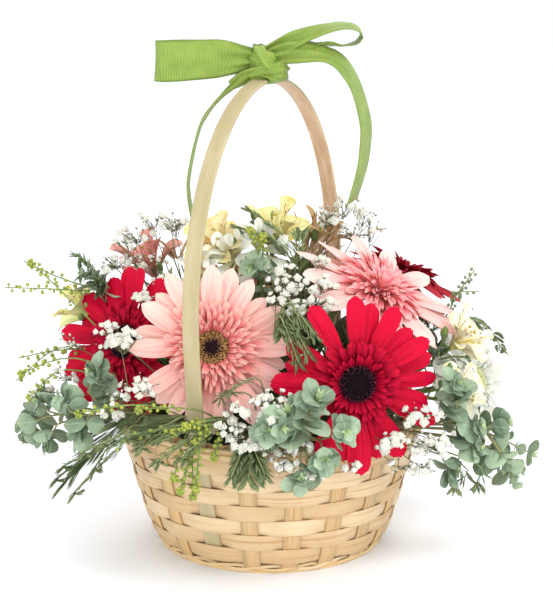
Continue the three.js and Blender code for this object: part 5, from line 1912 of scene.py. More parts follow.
# %% Alstroemeria stems
LANCE_OUTLINE = [(0, 0.2), (0.35, 1), (0.75, 0.6), (1, 0.03)]
UMBEL_STEM = 1.6
BRANCH_RADIUS = 1.1
BRANCH_DEPTH = 14
PARTING = 0.02
BUDS_A_BLOOM = 3
BUD_DEPTH = 16
BUD_REACH = 13
BUD_STALK = 0.7
BUD_SIZE = (7, 7, 12)
WHORL_LEAVES = 9
WHORL_START = 0.72
WHORL_STEP = 0.03
WHORL_LEAF = 34
lance_leaf = blade_shape("lance_leaf", LANCE_OUTLINE, rows=7, cup=0.1, ridge=0.02, ridges=1, rise=0.35,
                         droop=0.7, thick=0.01)


def leaf_finish(name, base, pale, rib, gloss=0.5):
    graph = Finish(name, gloss, Subsurface_Weight=0.06, Subsurface_Scale=0.002, Specular_IOR_Level=0.35)
    across_leaf, along_leaf = graph.unwrapped()
    cloud = noise(graph.place(), scale=160)
    from_rib = from_middle(across_leaf)
    vein = ripple((along_leaf - from_rib * 0.25) * 50)
    colour = mixed(spread(cloud * 0.5 + graph.attribute("tint") * 0.6, 0.3, 0.85), base, pale)
    colour = mixed(faded(from_rib, 0.0, 0.13) * 0.6, colour, rib)
    colour = mixed(vein * 0.12, colour, rib)
    return graph.shade(colour, vein * 0.4 + cloud, 0.0003, 0.35)


LANCE_FINISH = leaf_finish("lance_leaf", screen(96, 124, 64), screen(142, 164, 92), screen(170, 186, 120))


def waiting_buds(bunch, frame, fine):
    for k in range(BUDS_A_BLOOM):
        angle = 2 * math.pi * (k + next(fine)) / BUDS_A_BLOOM
        start = frame @ Vector((0, 0, -BUD_DEPTH))
        tip = frame @ polar(BUD_REACH, angle, between(fine, 4, 12))
        bunch.stalk([start, start.lerp(tip, 0.5) + AXIS_Z * 1.5, tip], BUD_STALK, BUD_STALK)
        bunch.place(frame_of(tip, AXIS_X, tip - start), BUD_SIZE, 1, 0.4)


def umbel(name, foot, fork, carries, index):
    tree = node_points(name)
    fine = seeded(8201 + index)
    bunch = Bunch()
    foot, fork = Vector(foot), Vector(fork)
    main = route_of(tree, [foot, foot.lerp(fork, 0.5), fork], UMBEL_STEM, 3)
    line = Line(main or [foot, fork], 3 if main else 1)
    bunch.stalk(line.smooth(), UMBEL_STEM + 0.1, UMBEL_STEM)
    followed = int(bool(main))
    for number in carries:
        frame = bloom_frame(*ALSTROEMERIAS[number][1:3])
        depths = (BRANCH_DEPTH, 1.5 * GAP)
        points = [fork.lerp(foot, PARTING), *(frame @ Vector((0, 0, -depth)) for depth in depths)]
        branch, held = stalk_line(tree, points, BRANCH_RADIUS, 3)
        followed += held
        bunch.stalk(branch.smooth(), BRANCH_RADIUS, UMBEL_STEM + 0.1)
        waiting_buds(bunch, frame, fine)
    for k in range(WHORL_LEAVES):
        angle = 2 * math.pi * (k + 0.5 * next(fine)) / WHORL_LEAVES
        point, tangent, side, up = line.at(WHORL_START + WHORL_STEP * k)
        out = fanned(side, up, angle) + tangent * 0.5
        bunch.place(frame_of(point, out, tangent), (WHORL_LEAF + 12 * next(fine), 9, WHORL_LEAF))
    shapes = [lance_leaf, flower_bud]
    keep(bunch.grow(name + "_round", shapes, LANCE_FINISH, STEM_FINISH, 8, 0.12, 0.15, index), "stem", [name])
    return followed


followed = [umbel(*row, index) for index, row in enumerate(UMBELS)]
print("stalks that follow the solids:", followed, "of", [1 + len(row[3]) for row in UMBELS])

# %% [markdown]
# Eucalyptus carries round leaves in pairs, each pair turned a quarter from the last. A wax bloom makes them
# blue grey. The solids hold the larger pairs. Smaller ones are set between them, and the young tips are
# yellow green. A twig of the table forks from a share of the main twig, or starts in the foam.

# %% Eucalyptus
EUCALYPTUS_SPRAYS = {
    "eucalyptus_left": [
        (None, [(-46, -22, 98), (-78, -40, 108), (-112, -50, 112), (-146, -44, 102), (-172, -34, 84)],
         4, 0.45, 22, 10),
        (0.55, [(-112, -70, 122), (-114, -78, 134)], 2, 0.5, 17, 13),
    ],
    "eucalyptus_front": [
        (None, [(6, -46, 96), (9, -90, 102), (11, -114, 104), (13, -128, 118), (12, -134, 130)],
         2, 0.7, 19, 15),
        (0.66, [(22, -134, 124), (30, -140, 140)], 2, 0.5, 19, 15),
        (0.6, [(24, -128, 100), (24, -130, 84)], 1, 0.9, 15, 11),
    ],
    "eucalyptus_right": [
        (None, [(50, -24, 96), (84, -46, 104), (116, -66, 106), (150, -66, 96), (182, -54, 78)],
         3, 0.58, 21, 10),
        (0.5, [(122, -76, 118), (128, -84, 132)], 2, 0.45, 18, 14),
        (0.75, [(158, -76, 84), (168, -76, 64)], 2, 0.5, 11, 8),
    ],
    "eucalyptus_top": [(None, [(8, -8, 98), (8, -6, 150), (0, -14, 198)], 3, 0.72, 18, 17)],
    "eucalyptus_back": [
        (None, [(20, 44, 96), (44, 84, 122), (56, 116, 122), (60, 142, 104)], 3, 0.5, 24, 16),
    ],
}
ROUND_OUTLINE = [(0, 0.08), (0.1, 0.5), (0.3, 0.9), (0.55, 1), (0.8, 0.8), (0.94, 0.4), (1, 0.06)]
TWIG_RADII = (1.3, 0.6)
MAIN_TWIG = (1.4, 5, 0.8)
SIDE_TWIG = (1.2, 4, 0.8)
LAST_PAIR = 0.98
LEAF_LEAN = 0.45
LEAF_TIP = 0.45
LEAF_DROOP = 0.12
SMALLER = 0.72
YOUNG_LEAVES = 6
round_leaf = blade_shape("round_leaf", ROUND_OUTLINE, columns=6, cup=0.09, ridge=0.008, ridges=1, rise=0.05,
                         droop=0.17)
young_leaf = blade_shape("young_leaf", LANCE_OUTLINE, rows=4, columns=2, cup=0.15, rise=0.1, droop=0.1,
                         thick=0.03)
WAXY_RIB = screen(174, 194, 162)
EUCALYPTUS_FINISH = leaf_finish("eucalyptus_leaf", LEAF_GLAUCOUS, LEAF_GLAUCOUS_PALE, WAXY_RIB, 0.6)
EUCALYPTUS_TWIG = stalk_finish("eucalyptus_twig", screen(120, 118, 76), screen(150, 150, 104))
YOUNG_FINISH = leaf_finish("young_leaf", LEAF_YOUNG, screen(184, 202, 150), screen(194, 208, 162))


def leaf_held(tree, at, out, face, size):
    """True if the solids hold a leaf here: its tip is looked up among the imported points."""
    under = Vector((1, 0, -2 * LEAF_DROOP)).normalized().cross(AXIS_Y)
    tip = Vector((size, size * 0.95 * LEAF_TIP / 2, -LEAF_DROOP * size)) + under * BLADE / 2
    return tree.find(frame_of(at, out, face) @ tip)[2] < LIKE


def twig_line(tree, fork, points, main, main_rod, side_rod):
    """The line of a main stalk, or of one that forks from it, or None if the solids left the fork out."""
    if main is None:
        return stalk_line(tree, points, *main_rod)[0]
    route = route_of(tree, [main.at(fork)[0], *points], *side_rod)
    return Line(route, side_rod[1]) if route else None


def solid_pairs(bunch, tree, line, pairs, start, leaf, tip_leaf):
    """The pairs that the solids hold. Gives how many leaves were found."""
    held = 0
    for i in range(pairs):
        part = i / max(pairs - 1, 1)
        share = start + (LAST_PAIR - start) * part
        point, tangent, side, up = line.at(share)
        size = leaf + (tip_leaf - leaf) * part
        for sign in (1, -1):
            out = (side if i % 2 else up) * sign + tangent * LEAF_LEAN
            if leaf_held(tree, point, out, tangent, size):
                held += 1
                bunch.place(frame_of(point, out, tangent), (size, size * 0.98, size), 0, share)
    return held


def smaller_pairs(bunch, line, count, start, leaf, tip_leaf, fine):
    for i in range(count):
        share = start - 0.1 + (1.04 - start) * (i + 0.5) / count
        point, tangent, side, up = line.at(min(share, 0.97))
        size = (leaf + (tip_leaf - leaf) * i / count) * SMALLER
        for sign in (1, -1):
            turn = i * math.pi / 2 + sway(fine, 0.6)
            out = fanned(side, up, turn) * sign + tangent * between(fine, 0.5, 0.9)
            bunch.place(frame_of(point, out, tangent), (size, size * 0.95, size), 0, share)


def young_tip(tips, line, count, spread_out, least, most, width, height, fine):
    """A fan of young leaves round the end of a twig."""
    point, tangent, side, up = line.at(0.99)
    for k in range(count):
        out = fanned(side, up, 2 * math.pi * k / count) * spread_out + tangent
        tips.place(frame_of(point, out, tangent), (between(fine, least, most), width, height), 0, 1)


def leafy_spray(name, leaves, tips, shape, part, seeds, sides, wobble, spread):
    twig = EUCALYPTUS_TWIG
    grown = [
        leaves.grow(part + "_leaves", [shape], EUCALYPTUS_FINISH, twig, sides, wobble, spread, seeds[0]),
        tips.grow(part + "_tips", [young_leaf], YOUNG_FINISH, twig, 5, 0.2, 0.2, seeds[1]),
    ]
    return joined(name, grown)


def eucalyptus(name, twigs, index):
    tree = node_points(name)
    fine = seeded(8301 + index)
    bunch, tips = Bunch(), Bunch()
    main, held = None, 0
    for fork, points, pairs, start, leaf, tip_leaf in twigs:
        line = twig_line(tree, fork, points, main, MAIN_TWIG, SIDE_TWIG)
        main = main or line
        if line:
            bunch.stalk(line.smooth(16), *TWIG_RADII)
            held += solid_pairs(bunch, tree, line, pairs, start, leaf, tip_leaf)
            count = 1 if name == "eucalyptus_top" else pairs * 2 + 1
            smaller_pairs(bunch, line, count, start, leaf, tip_leaf, fine)
            young_tip(tips, line, YOUNG_LEAVES, 0.6, 5.5, 8.5, 3.2, 5, fine)
    spray = leafy_spray(name + "_spray", bunch, tips, round_leaf, name, (index, index), 6, 0.14, 0.12)
    keep(spray, "eucalyptus", [name])
    print(name, "holds", held, "of", 2 * sum(twig[2] for twig in twigs), "leaves")


for index, (name, twigs) in enumerate(EUCALYPTUS_SPRAYS.items()):
    eucalyptus(name, twigs, index)

# %% [markdown]
# An acacia leaf is twice divided. The rib carries side ribs, and each side rib carries two rows of narrow
# leaflets. One side rib with its leaflets is a shape of its own, so the tree repeats a whole feather at once.

# %% Acacia
ACACIA_FRONDS = {
    "acacia_leaf_left": ([(-44, -34, 96), (-80, -62, 116), (-112, -76, 96), (-140, -84, 66)], 34, 2.6),
    "acacia_leaf_front_left": (
        [(-24, -48, 98), (-44, -90, 116), (-66, -114, 118), (-88, -122, 106)], 20, 1.1,
    ),
    "acacia_leaf_front": ([(-6, -50, 96), (-10, -92, 114), (-12, -118, 106), (-14, -128, 84)], 22, 1.6),
    "acacia_leaf_top": ([(14, 6, 100), (22, 4, 160), (14, 2, 206), (-14, 6, 232)], 17, 0.9),
    "acacia_leaf_right": ([(52, 14, 98), (104, 34, 136), (146, 22, 158), (172, 4, 134)], 14, 1.1),
}
FEATHER_PAIRS = 18
FEATHER_SAG = 0.05
FEATHER_WIDTH = 17
LEAFLET_LEAN = 1.7
SIDE_RIBS = 8
FIRST_RIB = 0.36
RIB_SPAN = 0.56
FROND_ROD = (1.2, 6, 0.7)
FROND_RADII = (1.0, 0.5)


def feather_shape(name, pairs, lean, leaflet, width):
    """A side rib one unit long, with closed leaflets of four faces in pairs."""
    points, faces = [], []

    def lens(root, tip, half):
        along = tip - root
        side = Vector((-along.y, along.x, 0)).normalized() * half
        middle = root.lerp(tip, 0.55) - AXIS_Z * half * 0.7
        first = len(points)
        points.extend([root, tip, middle + side, middle - side])
        for corners in ((1, 2, 0), (3, 1, 0), (3, 2, 1), (2, 3, 0)):
            faces.append(tuple(first + corner for corner in corners))

    lens(Vector((0, 0, 0)), Vector((1, 0, -FEATHER_SAG)), width * 0.7)
    for i in range(pairs):
        share = 0.06 + 0.92 * i / (pairs - 1)
        reach = leaflet * (0.55 + 0.45 * math.sin(math.pi * min(share + 0.15, 1)))
        root = Vector((share, 0, -FEATHER_SAG * share))
        for sign in (1, -1):
            lens(root, root + Vector((lean * reach, sign * reach, reach * 0.15)), width / 2)
    return shape_from(name, points, faces)


feather = feather_shape("feather", FEATHER_PAIRS, LEAFLET_LEAN, 0.32, 0.048)
leaflet = feather_shape("leaflet", 0, 0, 0, 0.27)
ACACIA_FINISH = stalk_finish("acacia_leaf", screen(98, 118, 74), screen(160, 174, 120), 0.65)


def side_pair(bunch, line, share, lean, size, fine):
    """Two feathers or leaflets, one on each side of a line."""
    point, tangent, side, up = line.at(share)
    for sign in (1, -1):
        out = side * sign + tangent * lean + up * sway(fine, 0.5)
        bunch.place(frame_of(point, out, up), size, 0, share)


def acacia(name, points, leaflet, lean, index):
    fine = seeded(8401 + index)
    line, held = stalk_line(node_points(name), points, *FROND_ROD)
    bunch = Bunch()
    bunch.stalk(line.smooth(18), *FROND_RADII)
    for i in range(SIDE_RIBS):
        part = i / (SIDE_RIBS - 1)
        size = leaflet * (1 - 0.5 * part ** 2) * between(fine, 0.9, 1.15)
        side_pair(bunch, line, FIRST_RIB + RIB_SPAN * part, lean, (size, FEATHER_WIDTH, FEATHER_WIDTH), fine)
    keep(bunch.grow(name + "_frond", [feather], ACACIA_FINISH, None, 5, 0.12, 0.12, index), "acacia", [name])
    return held


found = [acacia(name, *row, i) for i, (name, row) in enumerate(ACACIA_FRONDS.items())]
print("ribs that follow the solids:", found)

# %% [markdown]
# The bud strings are flower stalks of the same family before they open. Round yellow-green buds stand all
# round them.

# %% Bud strings
BUD_STRINGS = {
    "bud_string_left_high": [
        [(-42, 20, 100), (-96, 0, 176), (-140, -6, 184), (-188, -10, 187)],
        [(-150, -8, 194), (-174, -10, 206)],
    ],
    "bud_string_left_low": [
        [(-48, 2, 98), (-98, 6, 140), (-140, -20, 152), (-178, -38, 126)],
        [(-154, -26, 152), (-176, -36, 142)],
    ],
    "bud_string_front": [
        [(-16, -50, 96), (-36, -96, 116), (-48, -120, 108), (-57, -126, 76)],
        [(-72, -118, 114), (-104, -112, 100)],
    ],
    "bud_string_right": [
        [(46, 18, 100), (116, 8, 150), (134, 2, 180), (146, 0, 198)], [(130, -6, 182), (148, -10, 184)],
    ],
}
STRING_FORK = 0.55
MAIN_STRING = (0.9, 4, 0.5)
SIDE_STRING = (0.8, 3, 0.5)
STRING_RADII = (0.7, 0.4)
BEAD_SPACING = 3.4
BEAD_STALK = 0.25
BEAD_STALK_LENGTH = 1.6
round_bud = bud_shape("round_bud", [(0.12, -0.48), (0.4, -0.3), (0.5, 0.02), (0.4, 0.32), (0.14, 0.49)], 8)
BUD_FINISH = stalk_finish("round_bud", BUD_GREEN, BUD_YELLOW, 0.75)
GREY_BUD_FINISH = stalk_finish("grey_bud", screen(104, 118, 88), screen(148, 158, 120), 0.75)


def bead(bunch, line, share, turn, size, gap, stalk=0):
    """A bud that looks away from a line, on a short stalk if one is wanted."""
    point, tangent, side, up = line.at(share)
    out = fanned(side, up, turn)
    if stalk:
        bunch.stalk([point, point + out * stalk], BEAD_STALK, BEAD_STALK)
    bunch.place(frame_of(point + out * (gap + size / 2), tangent, out), size, 0, share)


def beads_along(bunch, line, fine):
    """Buds on short stalks round the outer three fifths of a line."""
    smooth = line.smooth(30)
    bunch.stalk(smooth, *STRING_RADII)
    length = sum((b - a).length for a, b in zip(smooth, smooth[1:]))
    count = int(length * 0.6 / BEAD_SPACING)
    for i in range(count):
        share = 0.4 + 0.6 * i / count
        size = between(fine, 2.9, 3.5) - 0.7 * share
        bead(bunch, line, share, i * GOLDEN_ANGLE, size, 1.2, BEAD_STALK_LENGTH)


def bud_string(name, strings, index):
    tree = node_points(name)
    fine = seeded(8501 + index)
    bunch = Bunch()
    main = None
    for points in strings:
        line = twig_line(tree, STRING_FORK, points, main, MAIN_STRING, SIDE_STRING)
        main = main or line
        if line:
            beads_along(bunch, line, fine)
    look = GREY_BUD_FINISH if name == "bud_string_right" else BUD_FINISH
    keep(bunch.grow(name + "_buds", [round_bud], look, STEM_FINISH, 5, 0.3, 0.15, index), "buds", [name])
    return len(bunch.points)


counts = [bud_string(name, rows, i) for i, (name, rows) in enumerate(BUD_STRINGS.items())]
print("points in the bud strings:", counts)

# %% [markdown]
# Baby's breath is a cloud of small double flowers and tight buds on thin, wiry, forking stalks.
# A flower is a frilled rosette of a few dozen faces, whose valleys carry painted shade. A cluster forks into
# stalks whose tips fill a ball.

# %% Baby's breath
AIRY = 0.22
DENSE = 0.66
BREATH_SPRAYS = {
    "breath_left_top": (
        (-30, 18, 100), (-62, 12, 176), [(-72, 20, 226), (-96, 12, 218), (-112, 4, 200)], AIRY,
    ),
    "breath_left": ((-44, -20, 98), (-78, -52, 128), [(-100, -84, 164), (-88, -92, 134)], DENSE),
    "breath_centre": ((10, -30, 100), (18, -50, 164), [(10, -64, 200), (32, -68, 186)], DENSE),
    "breath_front": ((-2, -44, 98), (0, -90, 116), [(4, -116, 132), (-14, -122, 108), (8, -124, 98)], DENSE),
    "breath_right": (
        (46, -36, 98), (84, -76, 110), [(98, -96, 116), (110, -92, 92), (84, -104, 100)], DENSE,
    ),
    "breath_back": ((26, 34, 100), (44, 56, 178), [(62, 40, 216), (44, 62, 224), (30, 96, 184)], AIRY),
}
FLOWERS_A_CLUSTER = 25
CLUSTER_REACH = 17
BREATH_FACE = Vector((0, -0.5, 0.6))
BREATH_STEM = (1.1, 3, 0.9)
BREATH_BRANCH = (0.8, 2, 0.6)
ROSETTE_COLUMNS = 8
ROSETTE_FRILL = 0.15
ROSETTE_LEVELS = [
    (0.08, -0.5, 0), (0.34, -0.26, 0.6), (0.5, 0.14, 1), (0.33, 0.0, 0.3), (0.27, 0.3, 1), (0.08, 0.14, 0.2),
]


def rosette_shape(name):
    """A frilled double flower, one unit across, open towards +Z. Its levels are (radius, height, painted
    light).
    """
    points, coordinates = [], []
    for level, (radius, height, light) in enumerate(ROSETTE_LEVELS):
        for k in range(ROSETTE_COLUMNS):
            frill = ROSETTE_FRILL if (k + level) % 2 else -ROSETTE_FRILL
            turn = 2 * math.pi * (k + 0.35 * level) / ROSETTE_COLUMNS
            points.append(polar(radius * (1 + frill), turn, height + frill * radius * 0.5))
            coordinates.append((light, level / (len(ROSETTE_LEVELS) - 1)))
    return shape_from(name, points, ring_faces(len(ROSETTE_LEVELS), ROSETTE_COLUMNS), coordinates)


rosette = rosette_shape("rosette")
tight_bud = bud_shape("tight_bud", [(0.1, -0.6), (0.3, -0.4), (0.42, -0.05), (0.34, 0.3), (0.1, 0.5)], 6)


def breath_finish(name):
    graph = Finish(name, 0.75, Subsurface_Weight=0.15, Subsurface_Scale=0.002)
    light, height = graph.unwrapped()
    colour = mixed(graph.attribute("tint") * 0.7, screen(244, 243, 236), screen(228, 226, 210))
    # Painted shade: the valleys and the centre of a rosette, where its painted light is low, are made darker.
    colour = mixed(faded(light, 0.2, 0.9) * 0.75, colour, screen(190, 186, 156))
    return graph.shade(mixed(faded(height, 0.02, 0.2), colour, screen(112, 126, 84)))


def tight_bud_finish(name):
    graph = Finish(name, 0.75)
    _, height = graph.unwrapped()
    return graph.shade(mixed(faded(height, -0.3, 0.0), screen(198, 196, 180), screen(84, 86, 66)))


BREATH_FINISH = breath_finish("breath_flower")
TIGHT_BUD_FINISH = tight_bud_finish("breath_bud")
WIRY_FINISH = stalk_finish("wiry_stalk", screen(88, 88, 62), screen(124, 120, 86))
print("rosette of", len(rosette.data.polygons), "faces")

# %% [markdown]
# A cluster's share of open flowers tells a dense cloud from an airy one. Most flowers look up and to the
# front, as they do where the light comes from.

# %% Clouds of baby's breath
def cluster(flowers, buds, start, centre, reach, count, fine, open_share):
    """Forks from a start into a ball of flowers and buds round a centre."""
    for _ in range(count):
        spot = Vector([sway(fine) for _ in range(3)]).normalized() * reach * between(fine, 0.35, 1)
        spot.z = abs(spot.z) * 0.8 - reach * 0.15
        tip = centre + spot
        knee = start.lerp(centre, between(fine, 0.6, 1)) + spot * 0.15
        flowers.stalk([knee, knee.lerp(tip, 0.6) + spot.normalized() * 0.8, tip], 0.28, 0.18)
        facing = (spot.normalized() + BREATH_FACE + (tip - knee).normalized() * 0.5).normalized()
        frame = frame_of(tip, across(facing), facing)
        if next(fine) < open_share:
            size = 3.6 + 3.8 * next(fine) ** 2
            flowers.place(frame, (size, size, size * 0.9))
        else:
            buds.place(frame, between(fine, 1.7, 2.6))


def cloud(name, part, flowers, buds, seed):
    grown = [
        flowers.grow(part + "_flowers", [rosette], BREATH_FINISH, WIRY_FINISH, 4, 0.3, 0.15, seed),
        buds.grow(part + "_buds", [tight_bud], TIGHT_BUD_FINISH, WIRY_FINISH, 4, 0.3, 0.2, seed),
    ]
    return joined(name, grown)


def breath(name, foot, fork, centres, open_share, index):
    tree = node_points(name)
    fine = seeded(8601 + index)
    flowers, buds = Bunch(), Bunch()
    foot, fork = Vector(foot), Vector(fork)
    main, held = stalk_line(tree, [foot, foot.lerp(fork, 0.5), fork], *BREATH_STEM)
    flowers.stalk(main.smooth(), 1.0, 0.8)
    followed = int(held)
    for centre in map(Vector, centres):
        points = [fork.lerp(foot, PARTING), fork.lerp(centre, 0.55), centre]
        line, held = stalk_line(tree, points, *BREATH_BRANCH)
        followed += held
        flowers.stalk(line.smooth(10), 0.6, 0.3)
        start = line.at(0.75)[0]
        cluster(flowers, buds, start, centre, CLUSTER_REACH, FLOWERS_A_CLUSTER, fine, open_share)
    keep(cloud(name + "_cloud", name, flowers, buds, index), "breath", [name])
    return followed


followed = [breath(name, *row, i) for i, (name, row) in enumerate(BREATH_SPRAYS.items())]
print("breath stalks that follow the solids:", followed)

# %% [markdown]
# A florist fills the heart of a basket last: sprigs go in between the blooms until no foam can be seen.
# The solids leave that filling out. It stands close to the foam or beside a bloom, never in front of one.

# %% Dark leaves over the foam
HEART_LEAVES = 210
HEART_MIDDLE = Vector((0, 0, 94))
HEART_REACH = Vector((92, 84, 84))
BLOOM_MARGIN = 5
BEHIND_BLOOM = -9
BEFORE_BLOOM = 40
FOAM_TOP = 92
FOAM_REACH = 62
KNEE_RISE = 4
HEART_FINISH = leaf_finish("heart_leaf", screen(58, 78, 48), screen(98, 120, 70), screen(120, 136, 84))
heart_leaf = blade_shape("heart_leaf", LANCE_OUTLINE, rows=5, columns=2, cup=0.12, rise=0.3, droop=0.5)


def clear_of_blooms(point):
    """True if a point is neither on a bloom nor in front of one."""
    for _, at, faces, radius, _, _ in GERBERAS:
        way = Vector(faces).normalized()
        aside = point - Vector(at)
        ahead = aside.dot(way)
        near = (aside - way * ahead).length < radius * 0.95 + BLOOM_MARGIN
        if near and BEHIND_BLOOM < ahead < BEFORE_BLOOM:
            return False
    return True


def root_in_foam(point, pull=0.5):
    """Where a stalk that ends at a point would come out of the foam."""
    flat = Vector((point.x, point.y, 0)) * pull
    if flat.length > FOAM_REACH:
        flat *= FOAM_REACH / flat.length
    return flat + AXIS_Z * FOAM_TOP


def kneed(start, end):
    """A stalk's line that rises a little before it reaches its end."""
    return [start, start.lerp(end, 0.6) + AXIS_Z * KNEE_RISE, end]


def heart():
    fine = seeded(7001)
    bunch = Bunch()
    for i in range(HEART_LEAVES):
        height = 1 - (i + 0.5) / HEART_LEAVES
        out = polar(math.sqrt(1 - height ** 2), i * GOLDEN_ANGLE, height)
        spot = HEART_MIDDLE + out * HEART_REACH * between(fine, 0.62, 0.92)
        stray = Vector((sway(fine), sway(fine), next(fine) - 0.2))
        way = (out + stray * 0.9).normalized()
        length = between(fine, 20, 34)
        if clear_of_blooms(spot) and clear_of_blooms(spot + way * length):
            bunch.stalk(kneed(root_in_foam(spot, 0.45), spot), 0.8, 0.6)
            size = (length, length * between(fine, 0.3, 0.5), length)
            bunch.place(frame_of(spot, way, AXIS_Z + out), size)
    leaves = bunch.grow("heart_leaves", [heart_leaf], HEART_FINISH, STEM_FINISH, 5, 0.2, 0.15, 3)
    return len(keep(leaves, "stem").data.polygons)


print("heart leaves:", heart(), "faces")

# %% [markdown]
# A few tan strands stand among the highest flowers. They dried where they stood, so they curl and their tips
# bend over.

# %% Dried strands
DRIED_STRANDS = [
    ((24, 46, 200), (27, 44, 230)), ((28, 46, 200), (40, 44, 232)), ((30, 46, 198), (49, 46, 226)),
    ((34, 48, 196), (56, 44, 218)), ((30, 44, 198), (34, 38, 218)), ((36, 46, 194), (50, 42, 208)),
    ((26, 44, 198), (20, 38, 216)), ((-70, 26, 200), (-75, 24, 217)), ((-66, 26, 200), (-64, 22, 219)),
]
STRANDS_A_ROOT = 3
DRIED_LOOK = (screen(190, 152, 118), screen(232, 206, 174), screen(214, 184, 150))
DRIED_FINISH = leaf_finish("dried_strand", *DRIED_LOOK, 0.7)


def dried_strands():
    fine = seeded(7051)
    bunch = Bunch()
    for root, tip in DRIED_STRANDS:
        root, tip = Vector(root), Vector(tip)
        bunch.stalk(kneed(root_in_foam(root), root), 0.6, 0.5)
        for _ in range(STRANDS_A_ROOT):
            aim = tip - root + Vector([sway(fine, 18) for _ in range(3)])
            face = Vector((sway(fine), -1, next(fine)))
            long = aim.length * between(fine, 0.6, 1)
            bunch.place(frame_of(root, aim, face), (long, between(fine, 1.6, 3), long))
    strands = bunch.grow("dried_strands", [heart_leaf], DRIED_FINISH, WIRY_FINISH, 5, 0.2, 0.2, 4)
    return len(keep(strands, "stem").data.polygons)


print("dried strands:", dried_strands(), "faces")

# %% [markdown]
# Between the large sprays stand many short sprigs. Each one is given by the two ends listed for it.
# A sprig leaves its root, bends, and turns outwards at its end, so that its youngest leaves face outwards.

# %% Short sprigs
ROUND_SPRIGS = [
    ((-118, -80, 124), (-119, -88, 147)), ((-146, -50, 105), (-161, -50, 116)),
    ((-146, -50, 105), (-174, -45, 96)), ((-138, -60, 104), (-159, -55, 88)),
    ((-129, -75, 112), (-143, -70, 122)), ((-113, -90, 120), (-132, -80, 101)),
    ((33, -120, 115), (29, -138, 141)), ((30, -120, 108), (8, -140, 122)),
    ((32, -120, 108), (36, -138, 100)), ((32, -120, 108), (49, -138, 119)),
    ((20, -120, 108), (20, -136, 86)), ((14, -115, 120), (-1, -138, 119)),
    ((123, -75, 108), (125, -90, 139)), ((130, -75, 105), (142, -80, 106)),
    ((131, -75, 101), (142, -80, 89)), ((130, -75, 94), (126, -80, 74)), ((137, -70, 93), (158, -70, 82)),
    ((145, -65, 88), (172, -60, 68)), ((137, -70, 100), (162, -65, 105)),
    ((-114, -8, 170), (-133, -8, 197)), ((-112, -8, 168), (-122, -10, 186)),
    ((0, -20, 176), (-13, -26, 206)), ((110, -24, 118), (106, -6, 152)), ((112, -24, 112), (122, -12, 146)),
    ((16, 20, 160), (22, 18, 196)), ((34, 96, 110), (52, 118, 128)), ((-66, 84, 108), (-86, 96, 126)),
    ((92, 66, 112), (112, 84, 118)),
]
FEATHER_SPRIGS = [
    ((-90, -96, 108), (-142, -88, 70)), ((-86, -96, 106), (-130, -92, 62)),
    ((-92, -92, 109), (-117, -95, 79)), ((-82, -100, 110), (-122, -100, 92)),
    ((-80, -100, 108), (-136, -92, 80)), ((-36, -110, 117), (-81, -128, 104)),
    ((-39, -110, 114), (-71, -128, 95)), ((-34, -110, 118), (-90, -118, 108)),
    ((-32, -112, 114), (-55, -130, 98)), ((-30, -110, 119), (-68, -122, 110)),
    ((-14, -116, 106), (-24, -132, 86)), ((-12, -116, 106), (-4, -134, 88)),
    ((-13, -105, 134), (-31, -112, 133)), ((-6, -105, 144), (-24, -112, 138)),
    ((10, -60, 180), (8, -88, 170)), ((6, -80, 184), (24, -97, 160)), ((8, -80, 188), (28, -96, 172)),
    ((4, -80, 182), (18, -98, 154)), ((10, -78, 190), (20, -95, 178)), ((10, 8, 150), (2, 4, 190)),
    ((18, 6, 150), (30, 6, 186)), ((4, 6, 146), (-8, 0, 180)), ((100, -10, 118), (110, 0, 162)),
    ((96, -12, 116), (92, 0, 158)), ((-64, 0, 140), (-72, -4, 188)), ((24, -8, 200), (-12, 2, 236)),
    ((20, -12, 202), (-20, -6, 226)), ((18, -15, 202), (22, 0, 222)), ((-108, -10, 178), (-134, -5, 205)),
    ((-104, -8, 172), (-124, 0, 190)), ((131, -70, 76), (127, -75, 60)), ((138, -70, 78), (142, -75, 62)),
    ((60, 84, 108), (78, 112, 128)), ((-84, 60, 110), (-116, 72, 120)), ((-20, 96, 98), (-34, 128, 92)),
]
BEAD_SPRIGS = [
    ((-79, -105, 127), (-126, -98, 118)), ((-46, -110, 125), (-84, -120, 127)),
    ((-36, -115, 116), (-54, -128, 118)), ((-30, -108, 118), (-48, -124, 106)),
    ((-28, -106, 116), (-36, -122, 96)), ((-34, -108, 120), (-62, -122, 112)),
    ((-42, -115, 113), (-48, -130, 77)), ((-45, -115, 113), (-58, -130, 76)),
    ((-7, -20, 202), (-14, -25, 229)), ((-5, -20, 202), (-5, -25, 225)),
    ((-48, -110, 112), (-50, -129, 72)), ((-52, -108, 112), (-62, -128, 84)),
    ((-134, -20, 173), (-168, -12, 203)), ((-127, -50, 144), (-172, -42, 131)),
    ((-134, -50, 137), (-166, -48, 116)),
]
print("sprigs of three kinds:", [len(rows) for rows in (ROUND_SPRIGS, FEATHER_SPRIGS, BEAD_SPRIGS)])

# %% [markdown]
# The three kinds differ only in what they carry: round leaves in crossed pairs, leaflets in two rows, or
# beads all round. Their stalks thin out towards the tip.

# %% Growing the sprigs
ROUND_PAIRS = 6
LEAFLET_SPACING = 1.6
LEAFLET = (11, 4.6, 3.2)
BEADS_A_SPRIG = 24
small_round_leaf = blade_shape("small_round_leaf", ROUND_OUTLINE, rows=6, cup=0.1, rise=0.05, droop=0.15,
                               thick=0.03)


def sprig_line(root, tip, turn_out):
    root, tip = Vector(root), Vector(tip)
    return Line([root_in_foam(root), root, tip - turn_out, tip], 6)


